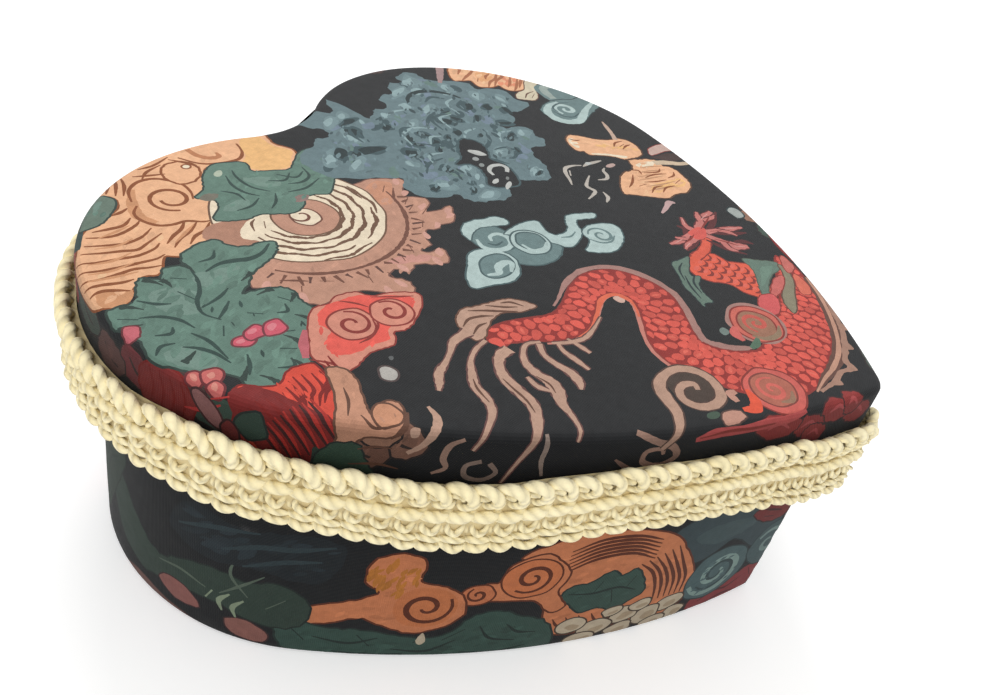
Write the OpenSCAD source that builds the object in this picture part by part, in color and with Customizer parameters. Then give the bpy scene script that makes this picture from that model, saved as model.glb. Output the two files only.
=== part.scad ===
// A heart-shaped keepsake box of bent card, covered in printed brocade cloth.
// The lid slips over the base and carries a crocheted band round its side.
// +Z is up, the heart's tip points to -Y, and Z = 0 is the surface it stands on.

/* [Heart outline] */
// Radius of each round lobe, on the lid's covered side
lobe_r = 70; // [62:0.5:78]
// Distance from the middle line to the centre of a lobe
lobe_x = 50; // [44:0.5:56]
// Radius of the long curve from a lobe to the tip
side_r = 270; // [240:5:400]
// Distance from the lobes' centre line to the centre of the tip's curve
tip_drop = 135.5; // [120:0.5:150]
// Radius of the blunt tip
tip_r = 8; // [6:0.5:12]
// Radius of the hollow between the lobes
cleft_r = 42; // [25:1:50]

/* [Heights] */
// Height of the base, from the table to its covered rim
base_h = 88; // [60:1:120]
// Depth of the lid's side, from its top face to its rim
lid_side_h = 29.3; // [27:0.1:40]
// Gap between the base's rim and the lid's lined ceiling
seat_gap = 0.3; // [0.2:0.05:0.6]

/* [Card] */
// Thickness of the two bent wall strips
wall_t = 2; // [1.5:0.1:3]
// Thickness of the lid's top board
top_board_t = 2.2; // [1.8:0.1:3.5]
// Thickness of the floor board
floor_t = 2; // [1.5:0.1:3.5]
// Radius of the top board's sanded upper edge
board_edge_r = 1.6; // [1:0.1:1.7]
// Open slit where the ends of a wall strip meet at the cleft
butt_slit = 0.4; // [0.2:0.1:1]
// Length of the paper tape across that joint
tape_l = 22; // [12:1:30]
// Thickness of the paper tape
tape_t = 0.25; // [0.2:0.05:0.3]

/* [Cloth] */
// Thickness of the glued cover cloth
cloth_t = 0.6; // [0.4:0.1:1]
// Width of the hems turned over each rim and under the floor
hem_w = 12; // [8:0.5:18]
// Thickness of the lining on its thin card
lining_t = 0.5; // [0.4:0.1:1]
// Distance from a rim to the lining's lower or upper edge
lining_inset = 2.5; // [1.5:0.5:6]
// Thickness of the sheet glued under the base
under_t = 0.5; // [0.4:0.1:1]
// Distance from the base's edge to that sheet
under_inset = 4; // [3:0.5:8]
// Glue line between two bonded layers
glue = 0.05; // [0.03:0.01:0.1]
// Clearance all round between the base and the lid's lining
slip_gap = 0.8; // [0.5:0.1:1.5]

/* [Crocheted band] */
// Distance from the lid's top face down to the band's upper edge
band_drop = 11; // [8:0.2:14]
// Height of the upper row of loops
loop_row_h = 8.6; // [7:0.2:11]
// Height of the middle ridge
ridge_row_h = 4.2; // [3:0.2:6]
// Height of the lower chain
chain_row_h = 7; // [5:0.2:9]
// How far the loops stand out from the cloth
loop_out = 5.2; // [4:0.2:7]
// How far the middle ridge stands out
ridge_out = 4.8; // [3.5:0.2:6]
// How far the lower chain stands out
chain_out = 5.6; // [4:0.2:7]
// Thickness of the band in the grooves between its rows
groove_out = 3; // [2:0.2:3.4]
// Slit where the band's two ends are sewn together at the tip
band_slit = 0.4; // [0.3:0.1:1]

/* [Floor pad] */
// Thickness of the pad's card
pad_card_t = 1.5; // [1:0.1:2.5]
// Distance from the pad's side to the edge of its card
pad_card_inset = 1; // [0.5:0.5:3]
// Height of the pad's rolled edge above its card
pad_edge_h = 4; // [3:0.5:6]
// Extra height of the pad's crown
pad_crown = 2.5; // [1:0.5:4]
// Distance over which the crown rises
pad_crown_run = 26; // [15:1:40]
// Gap all round between the pad and the wall lining
pad_gap = 1; // [0.5:0.1:2]

/* [Hidden] */

// Steps along each curve of half the outline
cleft_steps = 5;
lobe_steps = 22;
side_steps = 9;
near_tip_steps = 3;
tip_steps = 4;
// A tip curve with a smaller radius than this is drawn as a plain corner
least_tip_r = 0.3;
// Steps in a rolled edge and in each row of the band
edge_steps = 4;
row_steps = 4;
// Steps up the floor pad's crown
crown_steps = 4;

// Offsets from the lid's covered side, inwards through the layers
lid_cover_in = -cloth_t;
lid_card_out = lid_cover_in - glue;
lid_card_in = lid_card_out - wall_t;
lid_hem_out = lid_card_in - glue;
lid_hem_in = lid_hem_out - cloth_t;
lid_lining_out = lid_hem_in - glue;
lid_lining_in = lid_lining_out - lining_t;
base_cover_out = lid_lining_in - slip_gap;
base_cover_in = base_cover_out - cloth_t;
base_card_out = base_cover_in - glue;
base_card_in = base_card_out - wall_t;
base_hem_out = base_card_in - glue;
base_hem_in = base_hem_out - cloth_t;
base_lining_out = base_hem_in - glue;
base_lining_in = base_lining_out - lining_t;
pad_out = base_lining_in - pad_gap;

// Heights through the base
under_top = under_t;
base_hem_z = under_top + glue;
floor_z = base_hem_z + cloth_t + glue;
floor_top = floor_z + floor_t;
pad_z = floor_top + glue;
pad_card_top = pad_z + pad_card_t;
cushion_z = pad_card_top + glue;
base_card_top = base_h - cloth_t - glue;

// Heights through the lid
ceiling_z = base_h + seat_gap;
top_board_z = ceiling_z + lining_t + glue;
lid_cover_under = top_board_z + top_board_t + glue;
lid_top = lid_cover_under + cloth_t;
lid_rim = lid_top - lid_side_h;
lid_card_z = lid_rim + cloth_t + glue;
lid_card_top = top_board_z - glue;
cover_edge_r = board_edge_r + glue + cloth_t;

// Heights through the crocheted band
band_top = lid_top - band_drop;
ridge_top = band_top - loop_row_h;
chain_top = ridge_top - ridge_row_h;
band_bottom = chain_top - chain_row_h;

// The outline's curves: lobe, long side, blunt tip and hollow
lobe_c = [lobe_x, 0];
tip_c = [0, -tip_drop];
to_tip = lobe_c - tip_c;
lobe_to_side = side_r - lobe_r;
tip_to_side = side_r - tip_r;
turn = acos((to_tip * to_tip + lobe_to_side ^ 2 - tip_to_side ^ 2) / (2 * lobe_to_side * norm(to_tip)));
side_from = atan2(to_tip[1], to_tip[0]) - turn;
side_c = lobe_c - lobe_to_side * [cos(side_from), sin(side_from)];
side_to = atan2(tip_c[1] - side_c[1], tip_c[0] - side_c[0]);
side_mid = side_from + 0.8 * (side_to - side_from);
cleft_c = [0, sqrt((lobe_r + cleft_r) ^ 2 - lobe_x ^ 2)];
lobe_from = atan2(cleft_c[1], -lobe_x);
cleft_to = lobe_from - 180;

// The whole part, with its band, is centred on the origin
band_out = max(loop_out, ridge_out, chain_out);
part_back = lobe_r + band_out;
part_front = -tip_drop - tip_r - band_out;
centre_y = (part_back + part_front) / 2;

// Points on an arc, its first point left out
function arc(c, r, from, to, steps) =
    [for (k = [1:steps]) c + r * [cos(from + (to - from) * k / steps), sin(from + (to - from) * k / steps)]];

// Where the long side meets the middle line, for an outline too far in to have a round tip
function corner_angle(off) = -acos(-side_c[0] / (side_r + off));

// The end of half the outline: the side's last stretch and a round tip, or that stretch to a corner
function tip_stretch(off) =
    tip_r + off > least_tip_r
    ? concat(arc(side_c, side_r + off, side_mid, side_to, near_tip_steps),
             arc(tip_c, tip_r + off, side_to, -90, tip_steps))
    : arc(side_c, side_r + off, side_mid, corner_angle(off), near_tip_steps + tip_steps);

// Half of the outline, moved outwards by off, from the hollow to the tip
function half_outline(off) =
    concat([cleft_c - [0, cleft_r - off]],
           arc(cleft_c, cleft_r - off, -90, cleft_to, cleft_steps),
           arc(lobe_c, lobe_r + off, lobe_from, side_from, lobe_steps),
           arc(side_c, side_r + off, side_from, side_mid, side_steps),
           tip_stretch(off));

// The closed outline, centred on the origin
function outline(off) =
    let (half = half_outline(off), last = len(half) - 1)
    concat([for (p = half) p - [0, centre_y]],
           [for (k = [last - 1:-1:1]) [-half[k][0], half[k][1] - centre_y]]);

// A flat heart between two heights
module plate(off, z0, z1) {
    translate([0, 0, z0])
        linear_extrude(z1 - z0) polygon(outline(off));
}

// An upright strip bent round the heart
module strip(off_out, off_in, z0, z1) {
    translate([0, 0, z0])
        linear_extrude(z1 - z0)
            difference() {
                polygon(outline(off_out));
                polygon(outline(off_in));
            }
}

// A profile of [offset, height] points carried round the heart.
// A ring joins its last point to its first, and otherwise both ends are closed with a flat heart.
module sweep(profile, ring = false) {
    loops = [for (p = profile) [for (q = outline(p[0])) [q[0], q[1], p[1]]]];
    n = len(loops[0]);
    m = len(loops);
    sides = [for (r = [0:(ring ? m - 1 : m - 2)]) for (k = [0:n - 1])
        let (a = r * n, b = ((r + 1) % m) * n, j = (k + 1) % n)
        each [[a + k, a + j, b + j], [a + k, b + j, b + k]]];
    caps = ring ? [] : [[for (k = [n - 1:-1:0]) k], [for (k = [0:n - 1]) (m - 1) * n + k]];
    polyhedron(points = [for (l = loops) each l], faces = concat(sides, caps));
}

// Points of a quarter-round edge with its centre at c, turning up and inwards
function rolled(c, r, steps) =
    [for (k = [0:steps]) c + r * [cos(90 * k / steps), sin(90 * k / steps)]];

// The same edge taken the other way, for the underside of a rolled cloth
function rolled_back(c, r, steps) =
    [for (k = [steps:-1:0]) c + r * [cos(90 * k / steps), sin(90 * k / steps)]];

// One row of the band, bulging out between two heights, drawn upwards
function band_row(z0, z1, out) =
    [for (k = [0:row_steps - 1])
        let (a = -90 + 180 * (k + 0.5) / row_steps)
        [groove_out + (out - groove_out) * cos(a), (z0 + z1) / 2 + (z1 - z0) / 2 * sin(a)]];

module lid_top_board() {
    color("tan")
        sweep(concat([[lid_card_out, top_board_z]],
                     rolled([lid_card_out - board_edge_r, lid_cover_under - glue - board_edge_r],
                            board_edge_r, edge_steps)));
}

module lid_wall_strip() {
    color("tan")
        difference() {
            strip(lid_card_out, lid_card_in, lid_card_z, lid_card_top);
            joint_slit(lid_card_z, lid_card_top);
        }
}

module base_wall_strip() {
    color("tan")
        difference() {
            strip(base_card_out, base_card_in, floor_z, base_card_top);
            joint_slit(floor_z, base_card_top);
        }
}

// The slit between a wall strip's ends, in the hollow of the heart
module joint_slit(z0, z1) {
    translate([-butt_slit / 2, 0, z0 - 1])
        cube([butt_slit, lobe_r + cleft_r, z1 - z0 + 2]);
}

// Paper tape inside a wall strip, across the joint in the hollow
module joint_tape(off_card, z0, z1) {
    color("peru")
        intersection() {
            strip(off_card - glue, off_card - glue - tape_t, z0, z1);
            translate([-tape_l / 2, 0, z0 - 1])
                cube([tape_l, lobe_r + cleft_r, z1 - z0 + 2]);
        }
}

module lid_joint_tape() {
    joint_tape(lid_card_in, lid_card_z + hem_w + glue, ceiling_z - glue);
}

module base_joint_tape() {
    joint_tape(base_card_in, floor_top + glue, base_card_top - hem_w - glue);
}

// Cover of the lid: over the top, down the side and up inside the rim as a hem
module lid_cover_cloth() {
    edge_c = [-cover_edge_r, lid_top - cover_edge_r];
    color("darkslategray")
        sweep(concat(rolled_back(edge_c, cover_edge_r - cloth_t, edge_steps),
                     [[lid_cover_in, lid_card_z - glue],
                      [lid_hem_out, lid_card_z - glue],
                      [lid_hem_out, lid_card_z + hem_w],
                      [lid_hem_in, lid_card_z + hem_w],
                      [lid_hem_in, lid_rim + cloth_t / 2],
                      [lid_hem_out, lid_rim],
                      [lid_cover_in, lid_rim],
                      [0, lid_rim + cloth_t / 2]],
                     rolled(edge_c, cover_edge_r, edge_steps)));
}

module lid_ceiling_lining() {
    color("goldenrod")
        plate(lid_card_in - glue, ceiling_z, ceiling_z + lining_t);
}

module lid_wall_lining() {
    color("goldenrod")
        strip(lid_lining_out, lid_lining_in, lid_rim + lining_inset, ceiling_z - glue);
}

// The crocheted band, sewn shut at the tip of the heart
module crocheted_band() {
    color("cornsilk")
        difference() {
            sweep(concat([[glue, band_bottom]],
                         [[groove_out, band_bottom]],
                         band_row(band_bottom, chain_top, chain_out),
                         band_row(chain_top, ridge_top, ridge_out),
                         band_row(ridge_top, band_top, loop_out),
                         [[groove_out, band_top]],
                         [[glue, band_top]]), ring = true);
            translate([-band_slit / 2, part_front - centre_y - 1, band_bottom - 1])
                cube([band_slit, tip_drop, band_top - band_bottom + 2]);
        }
}

module base_floor_board() {
    color("tan")
        plate(base_card_in - glue, floor_z, floor_top);
}

// Cover of the base: up the wall, over the rim as one hem and under the floor as the other
module base_cover_cloth() {
    rim_hem_z = base_card_top - hem_w;
    color("darkslategray") {
        strip(base_cover_out, base_cover_in, base_hem_z, base_h);
        strip(base_cover_out, base_hem_in, base_h - cloth_t, base_h);
        strip(base_hem_out, base_hem_in, rim_hem_z, base_h);
        strip(base_cover_out, base_cover_in - hem_w, base_hem_z, base_hem_z + cloth_t);
    }
}

module base_under_sheet() {
    color("dimgray")
        plate(base_cover_out - under_inset, 0, under_top);
}

module base_wall_lining() {
    color("goldenrod")
        strip(base_lining_out, base_lining_in, floor_top + glue, base_h - lining_inset);
}

module floor_pad_card() {
    color("burlywood")
        plate(pad_out - pad_card_inset, pad_z, pad_card_top);
}

// Padded floor: a rolled edge, drawn in at its foot, and a low crown
module floor_pad_cushion() {
    side_z = cushion_z + pad_edge_h / 2;
    color("goldenrod")
        sweep(concat([[pad_out - pad_card_inset, cushion_z],
                      [pad_out, side_z]],
                     [for (k = [0:crown_steps])
                         [pad_out - pad_edge_h / 2 - pad_crown_run * k / crown_steps,
                          cushion_z + pad_edge_h + pad_crown * sin(90 * k / crown_steps)]]));
}

lid_top_board();
lid_wall_strip();
lid_joint_tape();
lid_cover_cloth();
lid_ceiling_lining();
lid_wall_lining();
crocheted_band();
base_floor_board();
base_wall_strip();
base_joint_tape();
base_cover_cloth();
base_under_sheet();
base_wall_lining();
floor_pad_card();
floor_pad_cushion();
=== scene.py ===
"""The dressed chinese brocade box: printed cloth over the card heart, crocheted band, linings and floor pad.

Lengths in here are millimetres until they reach a mesh, which is in metres like the frame.
"""
import bpy
import math
import random
import numpy as np
from mathutils import Matrix, Vector
from mathutils.geometry import delaunay_2d_cdt


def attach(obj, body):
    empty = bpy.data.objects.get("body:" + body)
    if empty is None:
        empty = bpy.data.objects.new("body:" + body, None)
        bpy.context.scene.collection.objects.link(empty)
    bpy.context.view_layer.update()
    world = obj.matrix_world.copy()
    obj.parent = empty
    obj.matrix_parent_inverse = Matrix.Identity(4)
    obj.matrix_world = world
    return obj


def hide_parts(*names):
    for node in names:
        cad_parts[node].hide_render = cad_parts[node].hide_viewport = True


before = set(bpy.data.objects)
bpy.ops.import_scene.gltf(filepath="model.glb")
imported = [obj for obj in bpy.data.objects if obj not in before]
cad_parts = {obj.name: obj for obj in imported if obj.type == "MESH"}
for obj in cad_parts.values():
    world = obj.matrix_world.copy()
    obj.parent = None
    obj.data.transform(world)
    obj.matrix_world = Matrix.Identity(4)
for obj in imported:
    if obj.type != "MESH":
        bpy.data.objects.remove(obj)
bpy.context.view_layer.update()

MM = 0.001

# The heart of part.scad, at the lid's covered side.
LOBE_R = 70.0
LOBE_X = 50.0
SIDE_R = 270.0
TIP_DROP = 135.5
TIP_R = 8.0
CLEFT_R = 42.0
SHIFT_Y = 36.75

# Heights and offsets of part.scad that the cloth follows.
LID_TOP = 91.7
LID_RIM = 62.4
ROLL_R = 2.25
BASE_RIM = 88.0
BASE_FOOT = 0.55
BASE_OFF = -4.65
HEM = 12.0
BAND_TOP = 80.7
RIDGE_TOP = 72.1
CHAIN_TOP = 67.9
BAND_FOOT = 60.9


def srgb(red, green, blue):
    """A screen colour of 0 to 255 as linear numbers, by the sRGB curve."""
    return tuple(
        ((v / 255 + 0.055) / 1.055) ** 2.4 if v > 10 else v / 255 / 12.92
        for v in (red, green, blue))


def heart_sectors():
    """The right half as arcs from the tip to the cleft: centre x, y, radius, first and last angle, side."""
    tip = (0.0, -TIP_DROP)
    reach = SIDE_R - LOBE_R
    far = SIDE_R - TIP_R
    across = (LOBE_X - tip[0], -tip[1])
    length = math.hypot(*across)
    turn = math.acos((length ** 2 + reach ** 2 - far ** 2) / (2 * reach * length))
    start = math.atan2(across[1], across[0]) - turn
    side = (LOBE_X - reach * math.cos(start), -reach * math.sin(start))
    end = math.atan2(tip[1] - side[1], tip[0] - side[0])
    cleft_y = math.sqrt((LOBE_R + CLEFT_R) ** 2 - LOBE_X ** 2)
    meet = math.atan2(cleft_y, -LOBE_X)
    return (
        (0.0, tip[1] + SHIFT_Y, TIP_R, -math.pi / 2, end, 1),
        (side[0], side[1] + SHIFT_Y, SIDE_R, end, start, 1),
        (LOBE_X, SHIFT_Y, LOBE_R, start, meet, 1),
        (0.0, cleft_y + SHIFT_Y, CLEFT_R, meet - math.pi, -math.pi / 2, -1),
    )


SECTORS = heart_sectors()
SIDE_X, SIDE_Y = SECTORS[1][0], SECTORS[1][1]


def heart_rays(step):
    """Rows of place, outward direction and run round the heart, from cleft to cleft by the tip.

    The run is the length from the tip along the outline, negative on the left.
    """
    rows = []
    run = 0.0
    for x, y, radius, first, last, side in SECTORS:
        count = max(2, math.ceil(radius * abs(last - first) / step))
        for number in range(count):
            angle = first + (last - first) * number / count
            out = np.array((math.cos(angle), math.sin(angle)))
            at = np.array((x, y)) + radius * out
            rows.append((at[0], at[1], side * out[0], side * out[1], run + radius * abs(angle - first)))
        run += radius * abs(last - first)
    rows.append((0.0, SECTORS[3][1] - CLEFT_R, 0.0, 1.0, run))
    right = np.array(rows)
    left = right[:0:-1] * np.array((-1, 1, -1, 1, -1))
    return np.vstack((left, right))


FINE = heart_rays(0.5)


def corner_y(off):
    """Where the two sides meet on the middle line when they lie off inwards, beyond the tip's round."""
    return SIDE_Y - math.sqrt((SIDE_R + off) ** 2 - SIDE_X ** 2)


def at_offset(rays, off):
    """The rays' points at a distance from the lid's side.

    Rays that cross the middle line near the tip end in the corner.
    """
    off = np.broadcast_to(np.asarray(off, float), (len(rays),))
    spots = rays[:, :2] + rays[:, 2:4] * off[:, None]
    crossed = (spots[:, 0] * np.sign(rays[:, 4]) < 0) & (spots[:, 1] < 0)
    for number in np.flatnonzero(crossed):
        spots[number] = (0.0, corner_y(off[number]))
    return spots


def on_heart(run, off, home=0.0):
    """Points at these runs, measured along the outline at distance home, and distances off the lid's side."""
    line = at_offset(FINE, home)
    steps = np.hypot(*np.diff(line, axis=0).T)
    length = np.concatenate(((0.0,), np.cumsum(steps)))
    length -= length[len(line) // 2]
    span = length[-1] - length[0]
    run = (np.asarray(run, float) - length[0]) % span + length[0]
    rays = np.stack([np.interp(run, length, FINE[:, column]) for column in range(5)], axis=1)
    rays[:, 2:4] /= np.hypot(rays[:, 2], rays[:, 3])[:, None]
    return at_offset(rays, off), rays[:, 2:4]


def girth(off):
    """Length once round at a distance from the lid's side."""
    line = at_offset(FINE, off)
    return float(np.hypot(*np.diff(line, axis=0).T).sum())


def foot(points):
    """For plane points: distance off the heart's outline, then run, place and outward direction there."""
    sign = np.where(points[:, 0] < 0, -1.0, 1.0)
    x, y = points[:, 0] * sign, points[:, 1]
    best = np.full(len(points), 1e9)
    answer = np.zeros((len(points), 6))
    before = 0.0
    for cx, cy, radius, first, last, side in SECTORS:
        angle = np.arctan2(y - cy, x - cx)
        middle = (first + last) / 2
        angle = (angle - middle + math.pi) % (2 * math.pi) - math.pi + middle
        low, high = min(first, last), max(first, last)
        inside = (angle >= low - 1e-6) & (angle <= high + 1e-6)
        off = side * (np.hypot(x - cx, y - cy) - radius)
        closer = inside & (np.abs(off) < best)
        best[closer] = np.abs(off[closer])
        out = np.stack((np.cos(angle), np.sin(angle)), axis=1)
        place = np.array((cx, cy)) + radius * out
        run = before + radius * np.abs(angle - first)
        rows = np.column_stack((off, run, place, side * out))
        answer[closer] = rows[closer]
        before += radius * abs(last - first)
    answer[:, 1] *= sign
    answer[:, 2] *= sign
    answer[:, 4] *= sign
    return answer


# Meshes


def raised(flat, height):
    """Plane points at a height, or each at its own."""
    return np.column_stack((flat, np.broadcast_to(height, len(flat))))


def mesh_object(name, verts, faces, smooth=True, scale=MM):
    """A piece from points, in millimetres unless another scale is given, and faces by number."""
    mesh = bpy.data.meshes.new(name)
    mesh.from_pydata((np.asarray(verts, float) * scale).tolist(), [],
                     [tuple(map(int, face)) for face in faces])
    mesh.update()
    mesh.polygons.foreach_set("use_smooth", [smooth] * len(mesh.polygons))
    piece = bpy.data.objects.new(name, mesh)
    bpy.context.scene.collection.objects.link(piece)
    return piece


def give_vectors(piece, name, values):
    """Give each point three numbers under a name that the cloth and yarn materials read."""
    made = piece.data.attributes.new(name, "FLOAT_VECTOR", "POINT")
    made.data.foreach_set("vector", np.asarray(values, np.float32).ravel())


def swept(profile, step):
    """Points, faces and cloth coordinates of a strip that follows (off, z) once round the heart."""
    rays = heart_rays(step)[:-1]
    count = len(rays)
    walk = np.concatenate(((0.0,), np.cumsum([math.dist(a, b) for a, b in zip(profile, profile[1:])])))
    verts = []
    coords = []
    for (off, z), down in zip(profile, walk):
        spots = at_offset(rays, off)
        verts.append(raised(spots, z))
        coords.append(np.column_stack((rays[:, 4], np.full(count, down), np.zeros(count))))
    faces = []
    for row in range(len(profile) - 1):
        for number in range(count):
            after = (number + 1) % count
            first = row * count
            faces.append((first + number, first + after, first + count + after, first + count + number))
    return np.vstack(verts), faces, np.vstack(coords)


# Print: shapes are (closed outline in cloth millimetres, colour), painted in order.

GROUND = srgb(16, 18, 21)


def catmull(points, closed=False, per=6):
    """A smooth line through points, with per places for each. A point may hold more than two numbers."""
    points = np.asarray(points, float)
    if closed:
        padded = np.vstack((points[-1:], points, points[:2]))
    else:
        padded = np.vstack((2 * points[0] - points[1], points, 2 * points[-1] - points[-2]))
    line = []
    for a, b, c, d in zip(padded, padded[1:], padded[2:], padded[3:]):
        for number in range(per):
            t = number / per
            square, cube = (2 * a - 5 * b + 4 * c - d), (3 * b - a - 3 * c + d)
            line.append(0.5 * (2 * b + (c - a) * t + square * t ** 2 + cube * t ** 3))
    if not closed:
        line.append(points[-1])
    return np.array(line)


def winding(polygon, points):
    """Which of the points lie inside a polygon, by the non-zero rule."""
    total = np.zeros(len(points), int)
    for (ax, ay), (bx, by) in zip(polygon, np.roll(polygon, -1, axis=0)):
        cross = (bx - ax) * (points[:, 1] - ay) - (points[:, 0] - ax) * (by - ay)
        total += ((ay <= points[:, 1]) & (by > points[:, 1]) & (cross > 0)).astype(int)
        total -= ((ay > points[:, 1]) & (by <= points[:, 1]) & (cross < 0)).astype(int)
    return total != 0


def cut_cloth(shapes, rings, spots, inside):
    """Flat triangles cut along the rings and the print, and each one's colour."""
    verts = [tuple(point) for point in spots]
    edges = []
    for ring in rings + [outline for outline, _ in shapes]:
        first = len(verts)
        verts.extend(map(tuple, ring))
        count = len(ring)
        edges.extend((first + number, first + (number + 1) % count) for number in range(count))
    flat, _, faces, *_ = delaunay_2d_cdt([Vector(v) for v in verts], edges, [], 0, 1e-4, False)
    flat = np.array([tuple(v) for v in flat])
    faces = np.array([tuple(face) for face in faces])
    middles = flat[faces].mean(axis=1)
    kept = inside(middles)
    faces, middles = faces[kept], middles[kept]
    colours = np.tile(GROUND, (len(faces), 1))
    for outline, colour in shapes:
        low, high = np.min(outline, axis=0), np.max(outline, axis=0)
        near = np.flatnonzero(np.all((middles >= low) & (middles <= high), axis=1))
        if len(near):
            hit = near[winding(outline, middles[near])]
            colours[hit] = colour
    used, faces = np.unique(faces, return_inverse=True)
    return flat[used], faces.reshape(-1, 3), colours


def give_print(piece, colours):
    """Give each triangle's three corners the print's colour."""
    made = piece.data.color_attributes.new("print", "FLOAT_COLOR", "CORNER")
    rows = np.column_stack((colours, np.ones(len(colours))))
    made.data.foreach_set("color", np.repeat(rows, 3, axis=0).astype(np.float32).ravel())


# Materials


class Net:
    """The nodes of one material, with the shader's plain values set on its sockets."""

    def __init__(self, name, **values):
        self.material = bpy.data.materials.new(name)
        self.material.use_nodes = True
        self.tree = self.material.node_tree
        self.shader = self.tree.nodes["Principled BSDF"]
        for key, value in values.items():
            self.shader.inputs[key.replace("_", " ")].default_value = value

    def node(self, kind, settings=(), **inputs):
        """A node with its settings. Inputs are values or sockets, by name or as i0, i1 and so on."""
        made = self.tree.nodes.new("ShaderNode" + kind)
        for key, value in dict(settings).items():
            setattr(made, key, value)
        for key, value in inputs.items():
            socket = made.inputs[int(key[1:]) if key[1:].isdigit() else key.replace("_", " ")]
            if isinstance(value, bpy.types.NodeSocket):
                self.tree.links.new(value, socket)
            else:
                socket.default_value = value
        return made

    def attribute(self, name):
        """A node that reads numbers stored on the mesh."""
        return self.node("Attribute", {"attribute_name": name})

    def math(self, operation, first, second=0.0):
        """The outcome of a sum on one or two numbers."""
        return self.node("Math", {"operation": operation}, i0=first, i1=second).outputs[0]

    def noise(self, vector, scale, detail=3.0, rough=0.55):
        """A clouded value, mostly between 0.3 and 0.7."""
        return self.node("TexNoise", Vector=vector, Scale=scale, Detail=detail,
                         Roughness=rough).outputs["Fac"]

    def level(self, value, low, high):
        """A value from 0 to 1 carried to the span from low to high."""
        return self.node("MapRange", Value=value, To_Min=low, To_Max=high).outputs[0]

    def shade(self, colour, factor):
        """A colour times a number."""
        return self.node("VectorMath", {"operation": "SCALE"}, i0=colour, Scale=factor).outputs[0]

    def mix(self, factor, first, second):
        """One colour turning into another with a factor of 0 to 1."""
        made = self.node("Mix", {"data_type": "RGBA"})
        for socket, value in ((made.inputs[0], factor), (made.inputs[6], first), (made.inputs[7], second)):
            if isinstance(value, bpy.types.NodeSocket):
                self.tree.links.new(value, socket)
            else:
                socket.default_value = value if isinstance(value, float) else (*value, 1.0)
        return made.outputs[2]

    def ramp(self, value, *stops):
        """The colour at a value between stops of (place, colour)."""
        made = self.node("ValToRGB", Fac=value)
        while len(made.color_ramp.elements) < len(stops):
            made.color_ramp.elements.new(0.5)
        for element, (place, colour) in zip(made.color_ramp.elements, stops):
            element.position = place
            element.color = (*colour, 1.0)
        return made.outputs[0]

    def to(self, socket, value):
        """Lead a value into one of the shader's sockets."""
        self.tree.links.new(value, self.shader.inputs[socket])

    def bump(self, height, distance, strength):
        """Raise the surface by a height times a distance in metres."""
        made = self.node("Bump", Height=height, Distance=distance, Strength=strength)
        self.to("Normal", made.outputs[0])


# Waves to the unit in a wave texture of scale 1.
WAVE_RATE = 3.1831


def weave(net, cloth, pitch):
    """Height of a plain weave over cloth coordinates in millimetres."""
    threads = []
    for way in "XY":
        wave = net.node("TexWave", {"bands_direction": way}, Vector=cloth, Scale=1 / pitch / WAVE_RATE,
                        Distortion=0.6)
        threads.append(net.math("MULTIPLY", wave.outputs["Fac"], 0.5))
    return net.math("ADD", *threads)


def printed_cloth():
    """Matt printed cotton: print, slubs along both threads, mottled ink, faded patches and a fine weave."""
    net = Net("printed_brocade", Roughness=0.78, Specular_IOR_Level=0.15, Sheen_Weight=0.06,
              Sheen_Roughness=0.5)
    cloth = net.attribute("cloth").outputs["Vector"]
    print_colour = net.attribute("print").outputs["Color"]
    fade = net.level(net.noise(cloth, 0.035, 4.0), 0.88, 1.12)
    ink = net.level(net.noise(cloth, 0.32, 4.0, 0.65), 0.70, 1.26)
    threads = net.node("Mapping", Vector=cloth, Scale=(0.35, 3.0, 1.0)).outputs[0]
    picks = net.node("Mapping", Vector=cloth, Scale=(3.0, 0.35, 1.0)).outputs[0]
    slub = net.math("ADD", net.noise(threads, 1.0, 2.0), net.noise(picks, 1.0, 2.0))
    slub = net.level(net.math("MULTIPLY", slub, 0.5), 0.78, 1.22)
    speck = net.level(net.noise(cloth, 2.4, 2.0), 0.88, 1.12)
    factor = net.math("MULTIPLY", net.math("MULTIPLY", fade, slub), net.math("MULTIPLY", speck, ink))
    net.to("Base Color", net.shade(print_colour, factor))
    net.to("Roughness", net.level(net.noise(cloth, 0.2), 0.70, 0.86))
    net.bump(weave(net, cloth, 0.55), 0.00012, 0.6)
    return net.material


def plain_cloth(name, colour, pitch, rough, sheen, spread=0.12, depth=0.0001):
    """A dyed cloth with a woven bump and a little variation."""
    net = Net(name, Specular_IOR_Level=0.3, Sheen_Weight=sheen, Sheen_Roughness=0.4)
    cloth = net.attribute("cloth").outputs["Vector"]
    tone = net.level(net.noise(cloth, 0.05, 4.0), 1 - spread, 1 + spread)
    fine = net.level(net.noise(cloth, 1.8, 2.0), 1 - spread / 2, 1 + spread / 2)
    dark = tuple(v * 0.82 for v in colour)
    light = tuple(min(1.0, v * 1.12) for v in colour)
    base = net.ramp(net.noise(cloth, 0.3), (0.3, dark), (0.7, light))
    net.to("Base Color", net.shade(base, net.math("MULTIPLY", tone, fine)))
    net.to("Roughness", net.level(net.noise(cloth, 0.4), rough - 0.06, rough + 0.06))
    net.bump(weave(net, cloth, pitch), depth, 0.6)
    return net.material


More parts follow.
